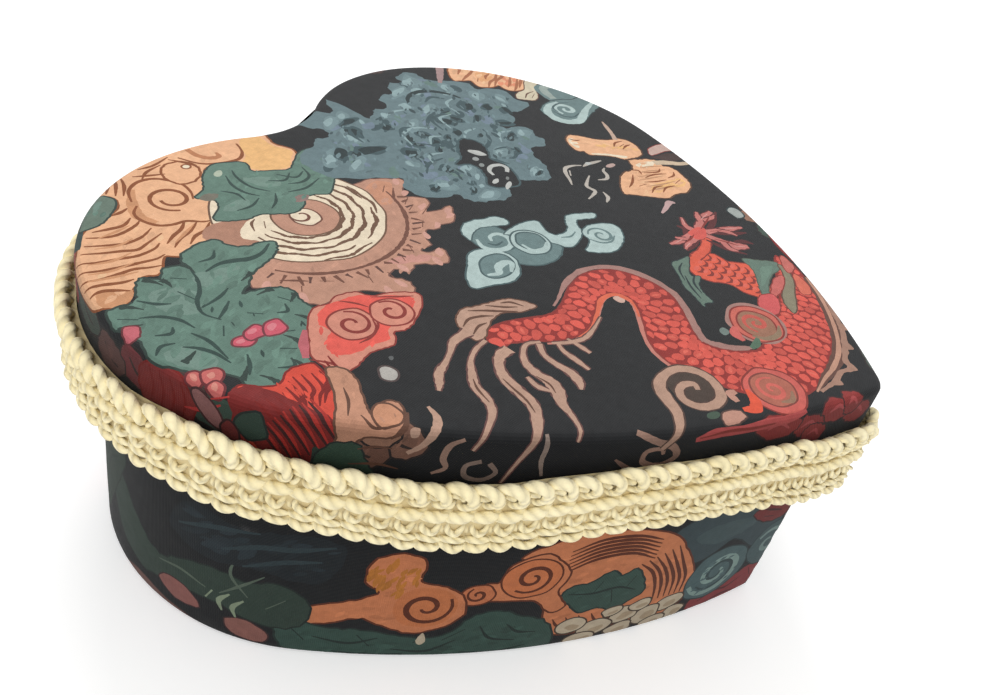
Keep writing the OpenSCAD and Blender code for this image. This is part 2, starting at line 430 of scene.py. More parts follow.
def cotton_yarn():
    """Cream crochet cotton: twisted plies with painted shade in their grooves, fine fuzz, and painted shade,
    olive-brown, in the hollows between the strands.
    """
    net = Net("crochet_cotton", Roughness=0.85, Specular_IOR_Level=0.2, Sheen_Weight=0.2,
              Sheen_Roughness=0.5)
    yarn = net.attribute("yarn").outputs["Vector"]
    split = net.node("SeparateXYZ", Vector=yarn)
    along, around, deep = split.outputs
    twist = net.math("ADD", net.math("MULTIPLY", along, 2.4), net.math("MULTIPLY", around, 18.85))
    plies = net.math("ABSOLUTE", net.math("SINE", net.math("MULTIPLY", twist, 0.5)))
    objects = net.node("TexCoord").outputs["Object"]
    grime = net.noise(objects, 60.0, 3.0)
    fibres = net.noise(objects, 2600.0, 2.0)
    clean = net.ramp(grime, (0.25, srgb(247, 232, 184)), (0.75, srgb(255, 243, 202)))
    # Painted shade: the yarn turns olive-brown where it lies deep among the strands, and the plies' grooves
    # are darker.
    base = net.mix(net.ramp(deep, (0.0, (0.0, 0.0, 0.0)), (0.75, (1.0, 1.0, 1.0))), srgb(182, 158, 104),
                   clean)
    shade = net.math("MULTIPLY", net.level(plies, 0.90, 1.05), net.level(fibres, 0.94, 1.06))
    net.to("Base Color", net.shade(base, shade))
    net.to("Roughness", net.level(fibres, 0.78, 0.92))
    height = net.math("ADD", plies, net.math("MULTIPLY", fibres, 0.3))
    net.bump(height, 0.0004, 0.9)
    return net.material


def card_board():
    """Grey-brown chipboard: pressed fibres and flecks."""
    net = Net("chipboard", Specular_IOR_Level=0.25)
    objects = net.node("TexCoord").outputs["Object"]
    fibres = net.node("Mapping", Vector=objects, Scale=(1.0, 0.35, 1.0)).outputs[0]
    grain = net.noise(fibres, 700.0, 5.0, 0.7)
    flecks = net.node("TexVoronoi", Vector=objects, Scale=900.0).outputs["Distance"]
    base = net.ramp(grain, (0.3, (0.45, 0.37, 0.27)), (0.5, (0.60, 0.50, 0.37)), (0.7, (0.70, 0.60, 0.45)))
    net.to("Base Color", net.shade(base, net.level(flecks, 0.86, 1.06)))
    net.to("Roughness", net.level(grain, 0.80, 0.95))
    net.bump(net.math("ADD", grain, flecks), 0.0001, 0.5)
    return net.material


def gummed_paper():
    """Brown gummed tape with fine laid lines."""
    net = Net("gummed_paper", Specular_IOR_Level=0.35)
    objects = net.node("TexCoord").outputs["Object"]
    laid = net.node("TexWave", {"bands_direction": "Z"}, Vector=objects, Scale=260.0,
                    Distortion=1.5).outputs["Fac"]
    blot = net.noise(objects, 180.0, 4.0)
    base = net.ramp(blot, (0.3, (0.44, 0.30, 0.16)), (0.7, (0.60, 0.43, 0.25)))
    net.to("Base Color", net.shade(base, net.level(laid, 0.93, 1.04)))
    net.to("Roughness", net.level(blot, 0.50, 0.68))
    net.bump(laid, 0.00004, 0.5)
    return net.material


# Lid cloth: one flat sheet, rolled over the board's edge and down the side, then turned under the rim.

ROLL = ROLL_R * math.pi / 2
SIDE_RUN = LID_TOP - ROLL_R - LID_RIM
CLOTH_REACH = ROLL + SIDE_RUN - ROLL_R

# Spacing along the outline; the top's grid, its slack and its distance from the side; how near the cloth's
# edge a triangle's middle may lie; rows of faces down the side.
RAY_STEP = 2.5
GRID_STEP = 5.0
GRID_SLACK = 0.6
GRID_EDGE = 4.5
EDGE_SLIP = 0.009
SIDE_ROWS = 6

# How uneven the glued cloth lies on the top, the lid's side and the base: depth and size of the waves, and
# how far from an edge they reach that depth. The base's foot stays calm up to BASE_CALM.
TOP_WAVE, TOP_SIZE, TOP_FADE = 0.16, 9.0, 14
SIDE_WAVE, SIDE_SIZE, SIDE_FADE = 0.12, 7.0, 6
BASE_WAVE, BASE_SIZE, BASE_FADE = 0.14, 10.0, 10
BASE_CALM = 6

# The cloth's way round under the lid's rim and up inside it: distance off the lid's side, height.
LID_HEM = (
    (0.0, LID_RIM), (-0.45, LID_RIM - 0.55), (-1.65, LID_RIM - 0.72), (-2.85, LID_RIM - 0.55),
    (-3.3, LID_RIM), (-3.3, LID_RIM + 6), (-3.3, LID_RIM + HEM))

rng = np.random.default_rng(7)
random.seed(7)


def side_spot(run, z):
    """The flat place of a point on the lid's side, at a run along the lid's side and a height."""
    ray, out = on_heart(np.atleast_1d(run), 0.0)
    away = ROLL - ROLL_R + (LID_TOP - ROLL_R - z)
    return ray + out * np.atleast_1d(away)[:, None]


def soft_wave(x, y, size):
    """A slow unevenness between -1 and 1."""
    first = np.sin(x / size + 1.3 * np.sin(y / size * 0.7))
    second = np.sin(y / size * 1.1 + 0.9 * np.sin(x / size * 0.6 + 2.0))
    return (first + second) / 2


def wrap_lid(flat):
    """Flat places to points on the lid."""
    found = foot(flat)
    walk = found[:, 0] + ROLL_R
    turn = np.clip(walk / ROLL_R, 0, math.pi / 2)
    rolled = walk > 0
    off = np.where(rolled, -ROLL_R + ROLL_R * np.sin(turn), found[:, 0])
    z = np.where(rolled, LID_TOP - ROLL_R + ROLL_R * np.cos(turn), LID_TOP)
    z = z - np.maximum(0.0, walk - ROLL)
    calm = np.clip(-found[:, 0] / TOP_FADE, 0, 1)
    z = z + calm * TOP_WAVE * soft_wave(flat[:, 0], flat[:, 1], TOP_SIZE)
    down = np.clip((walk - ROLL) / SIDE_FADE, 0, 1)
    off = off + down * SIDE_WAVE * soft_wave(found[:, 1], z, SIDE_SIZE)
    spots = np.where(rolled[:, None], found[:, 2:4] + found[:, 4:6] * off[:, None], flat)
    return raised(spots, z)


# The strength of the ink on the top, the share that the lid's side keeps (painted shade), the base's strength
# (with painted shade too), how much richer the ink is than drawn, and the painted sheen that greys the top.
TOP_INK = 0.75
SIDE_SHADE = 0.52
BASE_INK_AND_SHADE = 0.55
RICH = 0.2
PAINTED_SHEEN = 0.018

# How much of the top's light each ring of the cloth has, from the top over the roll to the side. Below 1 it
# gets painted shade and less of the painted sheen.
TOP_LIGHT_SHARE = (1.0, 1.0, 0.75, 0.45, 0.15, 0.0)

# The eye's weights for red, green and blue, and the darkest that cloth gets.
EYE = (0.2126, 0.7152, 0.0722)
BLACK = 0.001


def inked(colours, strength):
    """Colours laid on a dark ground: deeper, and a little richer."""
    light = colours @ np.array(EYE)
    return np.maximum(strength * (colours + RICH * (colours - light[:, None])), BLACK)


def grid_over(wide, high, step):
    """Points of a grid over a rectangle of twice this width and height."""
    return np.array([(x, y) for x in np.arange(-wide, wide + 1, step)
                     for y in np.arange(-high, high + 1, step)])


def lid_cloth(shapes):
    """The printed cloth of the lid."""
    rays = heart_rays(RAY_STEP)[:-1]
    bends = (0.0, ROLL / 4, ROLL / 2, ROLL * 3 / 4, ROLL)
    falls = tuple(ROLL + SIDE_RUN * part / SIDE_ROWS for part in range(1, SIDE_ROWS + 1))
    rings = [rays[:, :2] + rays[:, 2:4] * (walk - ROLL_R) for walk in bends + falls]
    grid = grid_over(120, 110, GRID_STEP)
    grid = grid + rng.uniform(-GRID_SLACK, GRID_SLACK, grid.shape)
    grid = grid[foot(grid)[:, 0] < -GRID_EDGE]

    def inside(points):
        return foot(points)[:, 0] < CLOTH_REACH - EDGE_SLIP

    flat, faces, colours = cut_cloth(shapes, rings, grid, inside)
    colours = inked(colours, TOP_INK)
    walk = foot(flat[faces].mean(axis=1))[:, 0] + ROLL_R
    part = np.digitize(walk, bends)
    top_light = np.array(TOP_LIGHT_SHARE)[part][:, None]
    # Painted shade darkens the roll and the lid's side, and a painted sheen greys the top.
    colours = colours * (SIDE_SHADE + (1 - SIDE_SHADE) * top_light) + PAINTED_SHEEN * top_light * (1 - colours)
    verts = wrap_lid(flat)
    hem, hem_faces, hem_coords = swept(LID_HEM, RAY_STEP)
    first = len(verts)
    triangles = [tuple(face) for face in faces]
    for a, b, c, d in hem_faces:
        triangles.append((first + a, first + d, first + c))
        triangles.append((first + a, first + c, first + b))
    piece = mesh_object("lid_brocade", np.vstack((verts, hem)), triangles)
    give_vectors(piece, "cloth", np.vstack((raised(flat, 0.0), hem_coords)))
    give_print(piece, np.vstack((colours, np.tile(GROUND, (2 * len(hem_faces), 1)))))
    return piece


# Base cloth: a strip once round, turned in over the rim and under the floor.

BASE_GIRTH = girth(BASE_OFF)

# Radii of the cloth's bends at the foot and over the rim.
FOOT_BEND = 0.9
RIM_BEND = 1.65

# Heights on the flat strip at which the cloth is cut into rows: foot, wall, rim.
BASE_ROWS = (
    -HEM, -6.0, -0.6, 0.1, 0.7, 1.45, *np.arange(6.0, 84.0, 6.0),
    87.1, 88.4, 89.7, 91.0, 92.3, 98.0, 104.0)


def wrap_base(flat):
    """Strip places (run from the tip, height) to points on the base, with the two turned edges."""
    run, height = flat[:, 0], flat[:, 1]
    low = np.clip(BASE_FOOT + FOOT_BEND - height, 0, None)
    high = np.clip(height - BASE_RIM + FOOT_BEND, 0, None)
    turn = np.clip(low / FOOT_BEND, 0, math.pi / 2)
    back = np.clip(high / RIM_BEND, 0, math.pi)
    off = BASE_OFF - FOOT_BEND * (1 - np.cos(turn)) - np.clip(low - FOOT_BEND * math.pi / 2, 0, None)
    z = np.where(low > 0, BASE_FOOT + FOOT_BEND * (1 - np.sin(turn)), height)
    over = high > 0
    off = np.where(over, BASE_OFF - RIM_BEND * (1 - np.cos(back)), off)
    inside = BASE_RIM - FOOT_BEND + FOOT_BEND * np.sin(back) - np.clip(high - RIM_BEND * math.pi, 0, None)
    z = np.where(over, inside, z)
    foot_calm = np.clip((height - BASE_CALM) / BASE_FADE, 0, 1)
    rim_calm = np.clip((BASE_RIM - height) / BASE_FADE, 0, 1)
    off = off + foot_calm * rim_calm * BASE_WAVE * soft_wave(run, height, BASE_SIZE)
    spots, _ = on_heart(run, off, BASE_OFF)
    return raised(spots, z)


def base_cloth(shapes):
    """The printed cloth of the base's side."""
    half = BASE_GIRTH / 2
    runs = np.concatenate((np.arange(-half, half - 1, RAY_STEP), (half,)))
    low, high = BASE_ROWS[0], BASE_ROWS[-1]
    rings = []
    for height, above in zip(BASE_ROWS, BASE_ROWS[1:]):
        row = [(run, height) for run in runs]
        rings.append(np.array(row + [(half, above), (-half, above)]))

    def inside(points):
        return (points[:, 0] > -half) & (points[:, 0] < half) & (points[:, 1] > low) & (points[:, 1] < high)

    spots = np.array([(run, height) for run in runs for height in BASE_ROWS])
    flat, faces, colours = cut_cloth(shapes, rings, spots, inside)
    # The base's print is darkened by its ink and by painted shade.
    colours = inked(colours, BASE_INK_AND_SHADE)
    piece = mesh_object("base_brocade", wrap_base(flat), faces)
    give_vectors(piece, "cloth", raised(flat, 0.0))
    give_print(piece, colours)
    return piece


# Crocheted band

# The band lies BAND_HOME off the lid's side. Yarn turns from shaded to bright between HOLLOW and PROUD mm
# further out, and the yarn behind the stitches has BACK_LIGHT of the brightness.
BAND_HOME = 2.5
STITCHES = 122
YARN_SIDES = 8
HOLLOW = 1.3
PROUD = 2.6
BACK_LIGHT = 0.3

# How much hand-made stitches differ: places along, up and out in mm, and the yarn's width as a share.
SLACK = (0.22, 0.2, 0.2)
SLACK_WIDTH = 0.1

# How far the hand-sewn band's two edges wander from their heights: run from the tip, upper and lower edge.
WANDER = ((-367, 0.2, 0.0), (-300, -0.4, 0.3), (-240, 0.4, 0.6), (-207, 1.1, 1.0), (-195, 3.0, 1.2),
          (-183, 2.6, -0.6), (-170, 2.1, 0.1), (-156, 0.2, -1.4), (-146, -0.5, -3.0), (-135, -1.4, -4.4),
          (-125, -1.2, -4.6), (-114, -0.4, -3.8), (-104, 1.8, -2.4), (-92, 2.8, -0.4), (-78, 4.2, 0.2),
          (-60, 4.2, 0.6), (-45, 4.2, -0.4), (-33, 3.6, -1.6), (-20, 0.8, -5.0), (-10, 1.6, -6.0),
          (-3, 0.4, -5.8), (3, -2.6, -5.2), (10, -4.6, -4.6), (24, -5.0, -3.4), (42, -3.4, -1.6),
          (66, -0.8, 0.2), (90, -0.2, 0.0), (130, 0.4, -0.6), (190, -0.4, 0.3), (260, 0.5, 0.2),
          (320, -0.3, -0.4), (367, 0.2, 0.0))


# The yarn behind the stitches, which closes the holes between them: distance off the lid's side, height.
BAND_BACK = (
    (0.15, BAND_FOOT + 0.7), (2.5, BAND_FOOT + 0.7), (2.8, BAND_FOOT + 2.6), (2.4, CHAIN_TOP - 1.0),
    (2.5, RIDGE_TOP), (2.2, BAND_TOP - 4.4), (0.15, BAND_TOP - 3.0))


class Pile:
    """Tubes gathered into one mesh, with yarn coordinates: along, round and how far out of the shade."""

    def __init__(self):
        self.verts = []
        self.faces = []
        self.yarn = []
        self.count = 0

    def tube(self, line, normals, radii, depth):
        """A closed tube along points, wider across than out, with painted light on its outer side and painted
        shade on its inner side.
        """
        tangents = np.gradient(line, axis=0)
        tangents /= np.linalg.norm(tangents, axis=1)[:, None]
        side = np.cross(tangents, normals)
        side /= np.linalg.norm(side, axis=1)[:, None]
        out = np.cross(side, tangents)
        angles = np.arange(YARN_SIDES) / YARN_SIDES * 2 * math.pi
        walk = np.concatenate(((0.0,), np.cumsum(np.linalg.norm(np.diff(line, axis=0), axis=1))))
        first = self.count
        for number in range(len(line)):
            wide, high = radii[number]
            around = np.outer(np.cos(angles), side[number]) * wide + np.outer(np.sin(angles),
                    out[number]) * high
            self.verts.append(line[number] + around)
            place = np.full(YARN_SIDES, walk[number])
            # Painted light and shade: brighter on the tube's outer side, darker on its inner side.
            light = np.clip(depth[number] + 0.30 * np.sin(angles), 0, 1)
            self.yarn.append(np.column_stack((place, np.arange(YARN_SIDES) / YARN_SIDES, light)))
        for row in range(len(line) - 1):
            for number in range(YARN_SIDES):
                after = (number + 1) % YARN_SIDES
                a = first + row * YARN_SIDES
                self.faces.append((a + number, a + after, a + YARN_SIDES + after, a + YARN_SIDES + number))
        last = first + (len(line) - 1) * YARN_SIDES
        self.faces.append(tuple(first + n for n in reversed(range(YARN_SIDES))))
        self.faces.append(tuple(last + n for n in range(YARN_SIDES)))
        self.count += len(line) * YARN_SIDES


def wander(run, z):
    """The height that a point of the band really has."""
    table = np.array(WANDER)
    down = (BAND_TOP - z) / (BAND_TOP - BAND_FOOT)
    upper = np.interp(run, table[:, 0], table[:, 1])
    lower = np.interp(run, table[:, 0], table[:, 2])
    return z + upper * (1 - down) + lower * down


def strand(pile, run, rows):
    """A strand through rows of numbers.

    A row is the run beyond the stitch's, the height, the distance off the lid's side, half the yarn's width
    and half its depth.
    """
    rows = np.array(rows, float)
    slack = np.array([[random.uniform(-1, 1) for _ in range(4)] for _ in rows])
    rows[:, :3] += slack[:, :3] * SLACK
    rows[:, 3:] *= 1 + SLACK_WIDTH * slack[:, 3:]
    rows[:, 0] += run
    rows[:, 1] = wander(rows[:, 0], rows[:, 1])
    line = catmull(rows, per=3)
    spots, outward = on_heart(line[:, 0], line[:, 2], BAND_HOME)
    depth = np.clip((line[:, 2] - HOLLOW) / PROUD, 0.0, 1.0)
    pile.tube(raised(spots, line[:, 1]), raised(outward, 0.0), line[:, 3:5], depth)


def crocheted_band():
    """Rows of stitches: hooked loops, a ridge, short ticks and a double chain, joined at the tip."""
    pile = Pile()
    span = girth(BAND_HOME)
    pitch = span / STITCHES
    for number in range(STITCHES):
        run = -span / 2 + pitch * (number + 0.5)
        slip = random.uniform(-0.25, 0.25)
        lift = random.uniform(-0.3, 0.3)
        fat = random.uniform(0.93, 1.08)
        top = BAND_TOP + lift
        slot = RIDGE_TOP + 0.9
        # The big hooked loop, the small loop behind it and the strand that closes the slot
        strand(pile, run + slip, [
            (-4.4, top - 4.2, 1.2, 0.9, 0.8),
            (-3.3, top - 2.2, 2.5, 1.35 * fat, 1.2),
            (-1.2, top - 1.5, 3.5, 1.55 * fat, 1.5),
            (1.0, top - 2.4, 4.0, 1.6 * fat, 1.5),
            (2.3, top - 4.2, 3.9, 1.4 * fat, 1.4),
            (1.9, slot + 1.7, 3.4, 1.1, 1.1),
            (0.5, slot + 0.9, 2.7, 0.95, 0.9),
            (-0.9, slot + 1.0, 1.5, 0.8, 0.7),
        ])
        strand(pile, run + slip, [
            (-3.6, top - 4.6, 1.6, 0.8, 0.7),
            (-2.0, top - 3.9, 2.6, 0.95, 0.9),
            (-0.3, top - 4.5, 2.9, 0.9, 0.8),
            (0.5, top - 5.3, 2.3, 0.7, 0.7),
        ])
        strand(pile, run + slip, [
            (-3.4, slot - 0.4, 1.9, 0.9, 0.8),
            (-2.6, slot + 1.1, 2.7, 0.95, 0.9),
            (-1.6, slot + 2.4, 2.2, 0.8, 0.7),
        ])
        # The ridge under the loops
        ridge = RIDGE_TOP - 0.9 + lift * 0.4
        strand(pile, run, [
            (-4.2, ridge - 0.6, 1.6, 0.9, 0.9),
            (-2.0, ridge - 0.2, 3.2, 1.5 * fat, 1.3),
            (1.2, ridge + 0.2, 3.6, 1.6 * fat, 1.5),
            (3.0, ridge + 0.6, 2.9, 1.2, 1.1),
            (4.4, ridge + 0.8, 1.6, 0.8, 0.8),
        ])
        # The short tick and its end
        post = CHAIN_TOP - 1.2
        strand(pile, run + slip, [
            (-2.2, post + 1.8, 1.5, 0.75, 0.8),
            (-1.6, post + 0.2, 2.7, 0.9, 0.9),
            (0.1, post - 0.7, 3.1, 0.95, 0.9),
            (1.5, post + 0.2, 2.8, 0.8, 0.8),
            (2.1, post + 1.5, 1.6, 0.7, 0.7),
        ])
        strand(pile, run + slip, [
            (2.6, post + 1.4, 1.4, 0.7, 0.7),
            (2.9, post - 0.2, 2.1, 0.75, 0.7),
            (3.5, post - 1.6, 1.7, 0.7, 0.7),
        ])
        # The double chain along the lower edge
        hang = BAND_FOOT
        strand(pile, run, [
            (-4.0, hang + 3.4, 1.8, 0.5, 0.5),
            (-1.8, hang + 3.75, 3.3, 0.85, 0.85),
            (1.6, hang + 3.6, 3.4, 0.9, 0.9),
            (4.1, hang + 3.1, 1.9, 0.5, 0.5),
        ])
        strand(pile, run + slip * 0.5, [
            (-3.9, hang + 2.1, 1.7, 0.6, 0.6),
            (-1.9, hang + 1.4, 3.3, 1.0 * fat, 1.0),
            (0.4, hang + 1.0, 3.7, 1.1 * fat, 1.1),
            (2.4, hang + 1.3, 3.3, 1.0 * fat, 1.0),
            (4.0, hang + 2.2, 1.8, 0.5, 0.5),
        ])
    # The raised loops and the sewing stitches where the band's ends meet
    for run, z, reach, lean in ((-5.6, 79.6, 4.2, 1.2), (2.4, 80.6, 4.6, 1.8), (3.6, 82.4, 3.2, 1.2)):
        strand(pile, run, [
            (-2.6, z - reach, 1.6, 1.0, 0.9),
            (-1.0, z - reach * 0.3, 3.4, 1.6, 1.4),
            (lean, z, 3.2, 1.5, 1.3),
            (lean + 1.6, z - reach * 0.7, 2.0, 1.1, 1.0),
        ])
    for number in range(6):
        z = BAND_TOP - 3.4 - 2.7 * number
        strand(pile, -1.5, [
            (-2.2, z + 0.8, 2.4, 0.5, 0.5),
            (-0.3, z + 0.3, 4.3, 0.55, 0.5),
            (1.9, z - 0.9, 2.4, 0.5, 0.5),
        ])
    back, back_faces, coords = swept(BAND_BACK, 4.0)
    back[:, 2] = wander(coords[:, 0], back[:, 2])
    first = pile.count
    faces = pile.faces + [tuple(first + n for n in face) for face in back_faces]
    piece = mesh_object("crochet_rows", np.vstack(pile.verts + [back]), faces)
    # The yarn behind the stitches is painted in shade, at BACK_LIGHT of the brightness.
    back_yarn = np.column_stack((back[:, 0], np.zeros(len(back)), np.full(len(back), BACK_LIGHT)))
    give_vectors(piece, "yarn", np.vstack(pile.yarn + [back_yarn]))
    return piece


# Linings, floor pad and felt


# Spacing of the linings' points along the outline and inside it
LINING_STEP = 4.0
LINING_GRID = 8.0


def strip_piece(name, profile):
    """A lining that follows (off, z) once round the heart."""
    verts, faces, coords = swept(profile, LINING_STEP)
    piece = mesh_object(name, verts, faces)
    give_vectors(piece, "cloth", coords)
    return piece


def filled_heart(name, off, height):
    """A flat sheet inside the outline at a distance off the lid's side."""
    ring = at_offset(heart_rays(LINING_STEP)[:-1], off)
    keep = np.hypot(*(ring - np.roll(ring, 1, axis=0)).T) > 0.01
    ring = ring[keep]
    grid = grid_over(116, 104, LINING_GRID)
    grid = grid[foot(grid)[:, 0] < off - LINING_GRID * 0.6]

    def inside(points):
        return winding(ring, points)

    flat, faces, _ = cut_cloth([], [ring], grid, inside)
    piece = mesh_object(name, raised(flat, height), faces)
    give_vectors(piece, "cloth", raised(flat, 0.0))
    return piece


def dress(piece, material, body, slot, *nodes):
    """Give a piece its material, the body that it moves with and the nodes that it stands for. The slot is
    not used.
    """
    piece.data.materials.append(material)
    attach(piece, body)
    if nodes:
        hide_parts(*nodes)
    return piece


def heart_area(off):
    """Area inside an outline in square metres."""
    ring = at_offset(FINE, off)
    x, y = ring[:, 0], ring[:, 1]
    return abs(float(np.dot(x, np.roll(y, -1)) - np.dot(y, np.roll(x, -1)))) / 2 * MM * MM


# The floor pad: its side's distance off the lid's side, its heights, how far in the crown rises, and the
# fill: grid of the mesh, air pressure, most that a point may move and frames of the simulation.
PAD_OFF = -11.2
PAD_LOW = 4.85
PAD_SIDE = 8.3
PAD_CROWN = 1.3
PAD_RUN = 26.0
PAD_STEP = 3.0
VOXEL = 2.6
PRESSURE = 4.0
MOST_SWELL = 1.5
SIM_FRAMES = 20

# The welt's radius and its way round
WELT_R = 0.75
WELT_ROUND = 4.7


def slab_of_wadding():
    """The pad before it is filled: a closed heart slab, smaller than its place, meshed evenly and crowned."""
    profile = ((PAD_OFF - 0.6, PAD_LOW), (PAD_OFF, PAD_LOW + 0.7), (PAD_OFF, PAD_SIDE - 0.9),
               (PAD_OFF - 1.0, PAD_SIDE))
    verts, faces, _ = swept(profile, PAD_STEP)
    count = len(verts) // len(profile)
    faces = faces + [tuple(reversed(range(count))), tuple(range(len(verts) - count, len(verts)))]
    piece = mesh_object("floor_pad_sateen", verts, faces)
    remesh = piece.modifiers.new("even", "REMESH")
    remesh.mode = "VOXEL"
    remesh.voxel_size = VOXEL * MM
    keep_result(piece)
    spots = read_points(piece)
    inward = np.clip(-foot(spots[:, :2])[:, 0] + PAD_OFF, 0, PAD_RUN) / PAD_RUN
    share = np.clip((spots[:, 2] - PAD_LOW) / (PAD_SIDE - PAD_LOW), 0, 1)
    spots[:, 2] += PAD_CROWN * share * (1 - (1 - inward) ** 2)
    write_points(piece, spots)
    return piece


def read_points(piece):
    """A piece's points in millimetres."""
    spots = np.zeros(len(piece.data.vertices) * 3, np.float32)
    piece.data.vertices.foreach_get("co", spots)
    return spots.reshape(-1, 3).astype(float) / MM


def write_points(piece, spots):
    """Move a piece's points to places in millimetres."""
    piece.data.vertices.foreach_set("co", (spots * MM).astype(np.float32).ravel())
    piece.data.update()


def keep_result(piece):
    """Make what the modifiers show the piece's own mesh."""
    depsgraph = bpy.context.evaluated_depsgraph_get()
    shown = bpy.data.meshes.new_from_object(piece.evaluated_get(depsgraph))
    piece.modifiers.clear()
    old = piece.data
    piece.data = shown
    bpy.data.meshes.remove(old)
    piece.data.polygons.foreach_set("use_smooth", [True] * len(piece.data.polygons))


def blow_up(piece):
    """Fill the pad with air pressure as cloth, held at its glued underside.

    No point ends further than MOST_SWELL from where it was, because the pad lies between the wall linings.
    """
    before = read_points(piece)
    glued = piece.vertex_groups.new(name="glued")
    glued.add(np.flatnonzero(before[:, 2] < PAD_LOW + 0.4).tolist(), 1.0, "REPLACE")
    cloth = piece.modifiers.new("filling", "CLOTH")
    settings = cloth.settings
    settings.quality = 6
    settings.mass = 0.2
    settings.tension_stiffness = 12.0
    settings.compression_stiffness = 12.0
    settings.shear_stiffness = 4.0
    settings.bending_stiffness = 0.3
    settings.use_pressure = True
    settings.uniform_pressure_force = PRESSURE
    settings.vertex_group_mass = "glued"
    settings.effector_weights.gravity = 0.0
    cloth.collision_settings.use_collision = False
    for number in range(1, SIM_FRAMES + 1):
        bpy.context.scene.frame_set(number)
    keep_result(piece)
    bpy.context.scene.frame_set(1)
    after = read_points(piece)
    moved = after - before
    length = np.linalg.norm(moved, axis=1)
    piece.vertex_groups.clear()
    write_points(piece, before + moved * np.minimum(1.0, MOST_SWELL / np.maximum(length, 1e-6))[:, None])


def floor_pad():
    """The padded floor cushion."""
    piece = slab_of_wadding()
    blow_up(piece)
    spots = read_points(piece)
    top = np.clip((spots[:, 2] - PAD_LOW - 2) / 3, 0, 1)
    spots[:, 2] += 0.25 * top * soft_wave(spots[:, 0] + 5, spots[:, 1] - 3, 7.0)
    write_points(piece, spots)
    smooth = piece.modifiers.new("smooth", "SUBSURF")
    smooth.levels = 1
    smooth.render_levels = 1
    keep_result(piece)
    spots = read_points(piece)
    cloth = np.column_stack((spots[:, 0], spots[:, 1] + spots[:, 2]))
    give_vectors(piece, "cloth", raised(cloth, 0.0))
    return piece


def pad_welt():
    """The corded seam round the pad's upper edge."""
    pile = Pile()
    line = at_offset(heart_rays(PAD_STEP), PAD_OFF + 0.2)
    line = line[np.concatenate(((True,), np.hypot(*np.diff(line, axis=0).T) > 0.05))]
    points = raised(line, PAD_SIDE - 0.5)
    normals = np.tile((0.0, 0.0, 1.0), (len(points), 1))
    pile.tube(points, normals, np.full((len(points), 2), WELT_R), np.ones(len(points)))
    piece = mesh_object("floor_pad_welt", np.vstack(pile.verts), pile.faces)
    yarn = np.vstack(pile.yarn)
    give_vectors(piece, "cloth", raised(yarn[:, :2] * (1.0, WELT_ROUND), 0.0))
    return piece


# The print's inks

PEACH = srgb(250, 200, 164)
PEACH_LIT = srgb(252, 205, 152)
PEACH_DEEP = srgb(218, 164, 128)
BROWN = srgb(146, 88, 56)
SAGE = srgb(110, 137, 125)
SAGE_LIT = srgb(128, 152, 141)
SAGE_VEIN = srgb(52, 74, 68)
SAGE_EDGE = srgb(50, 66, 60)
CREAM = srgb(255, 240, 216)
MAUVE = srgb(203, 158, 138)
MAUVE_LINE = srgb(120, 80, 66)
SUN_LINE = srgb(118, 88, 70)
CORAL = srgb(236, 110, 100)
CORAL_TAN = srgb(222, 156, 138)
MAROON = srgb(140, 58, 52)
RED = srgb(222, 92, 78)
RED_LINE = srgb(128, 34, 30)
TAN = srgb(208, 158, 134)
TAN_LINE = srgb(104, 72, 58)
PINK = srgb(212, 104, 118)
SLATE = srgb(114, 134, 138)
SLATE_LIT = srgb(160, 182, 184)
SLATE_COOL = srgb(126, 142, 156)
SLATE_GREEN = srgb(112, 136, 130)
SLATE_DEEP = srgb(70, 90, 94)
SLATE_DARK = srgb(36, 52, 54)
CLOUD = srgb(196, 214, 211)
CLOUD_MID = srgb(118, 139, 139)
CLOUD_LINE = srgb(78, 98, 100)
BODY_GAP = srgb(150, 54, 50)
SCALE_RED = srgb(226, 106, 95)
SCALE_LIT = srgb(234, 122, 108)
HALO = srgb(176, 138, 130)
STREAMER = srgb(200, 166, 148)
FLAME = srgb(112, 132, 120)
WHITE = srgb(208, 210, 206)
DUSK = srgb(74, 60, 52)


# Points of one turn of a spiral line
CURL_STEPS = 14

# A scale's outline: along the body and across it.
SCALE_FORM = ((-0.42, 0.0), (-0.3, 0.8), (0.1, 1.0), (0.42, 0.62), (0.54, 0.0), (0.38, -0.62),
              (0.1, -1.0), (-0.3, -0.8))


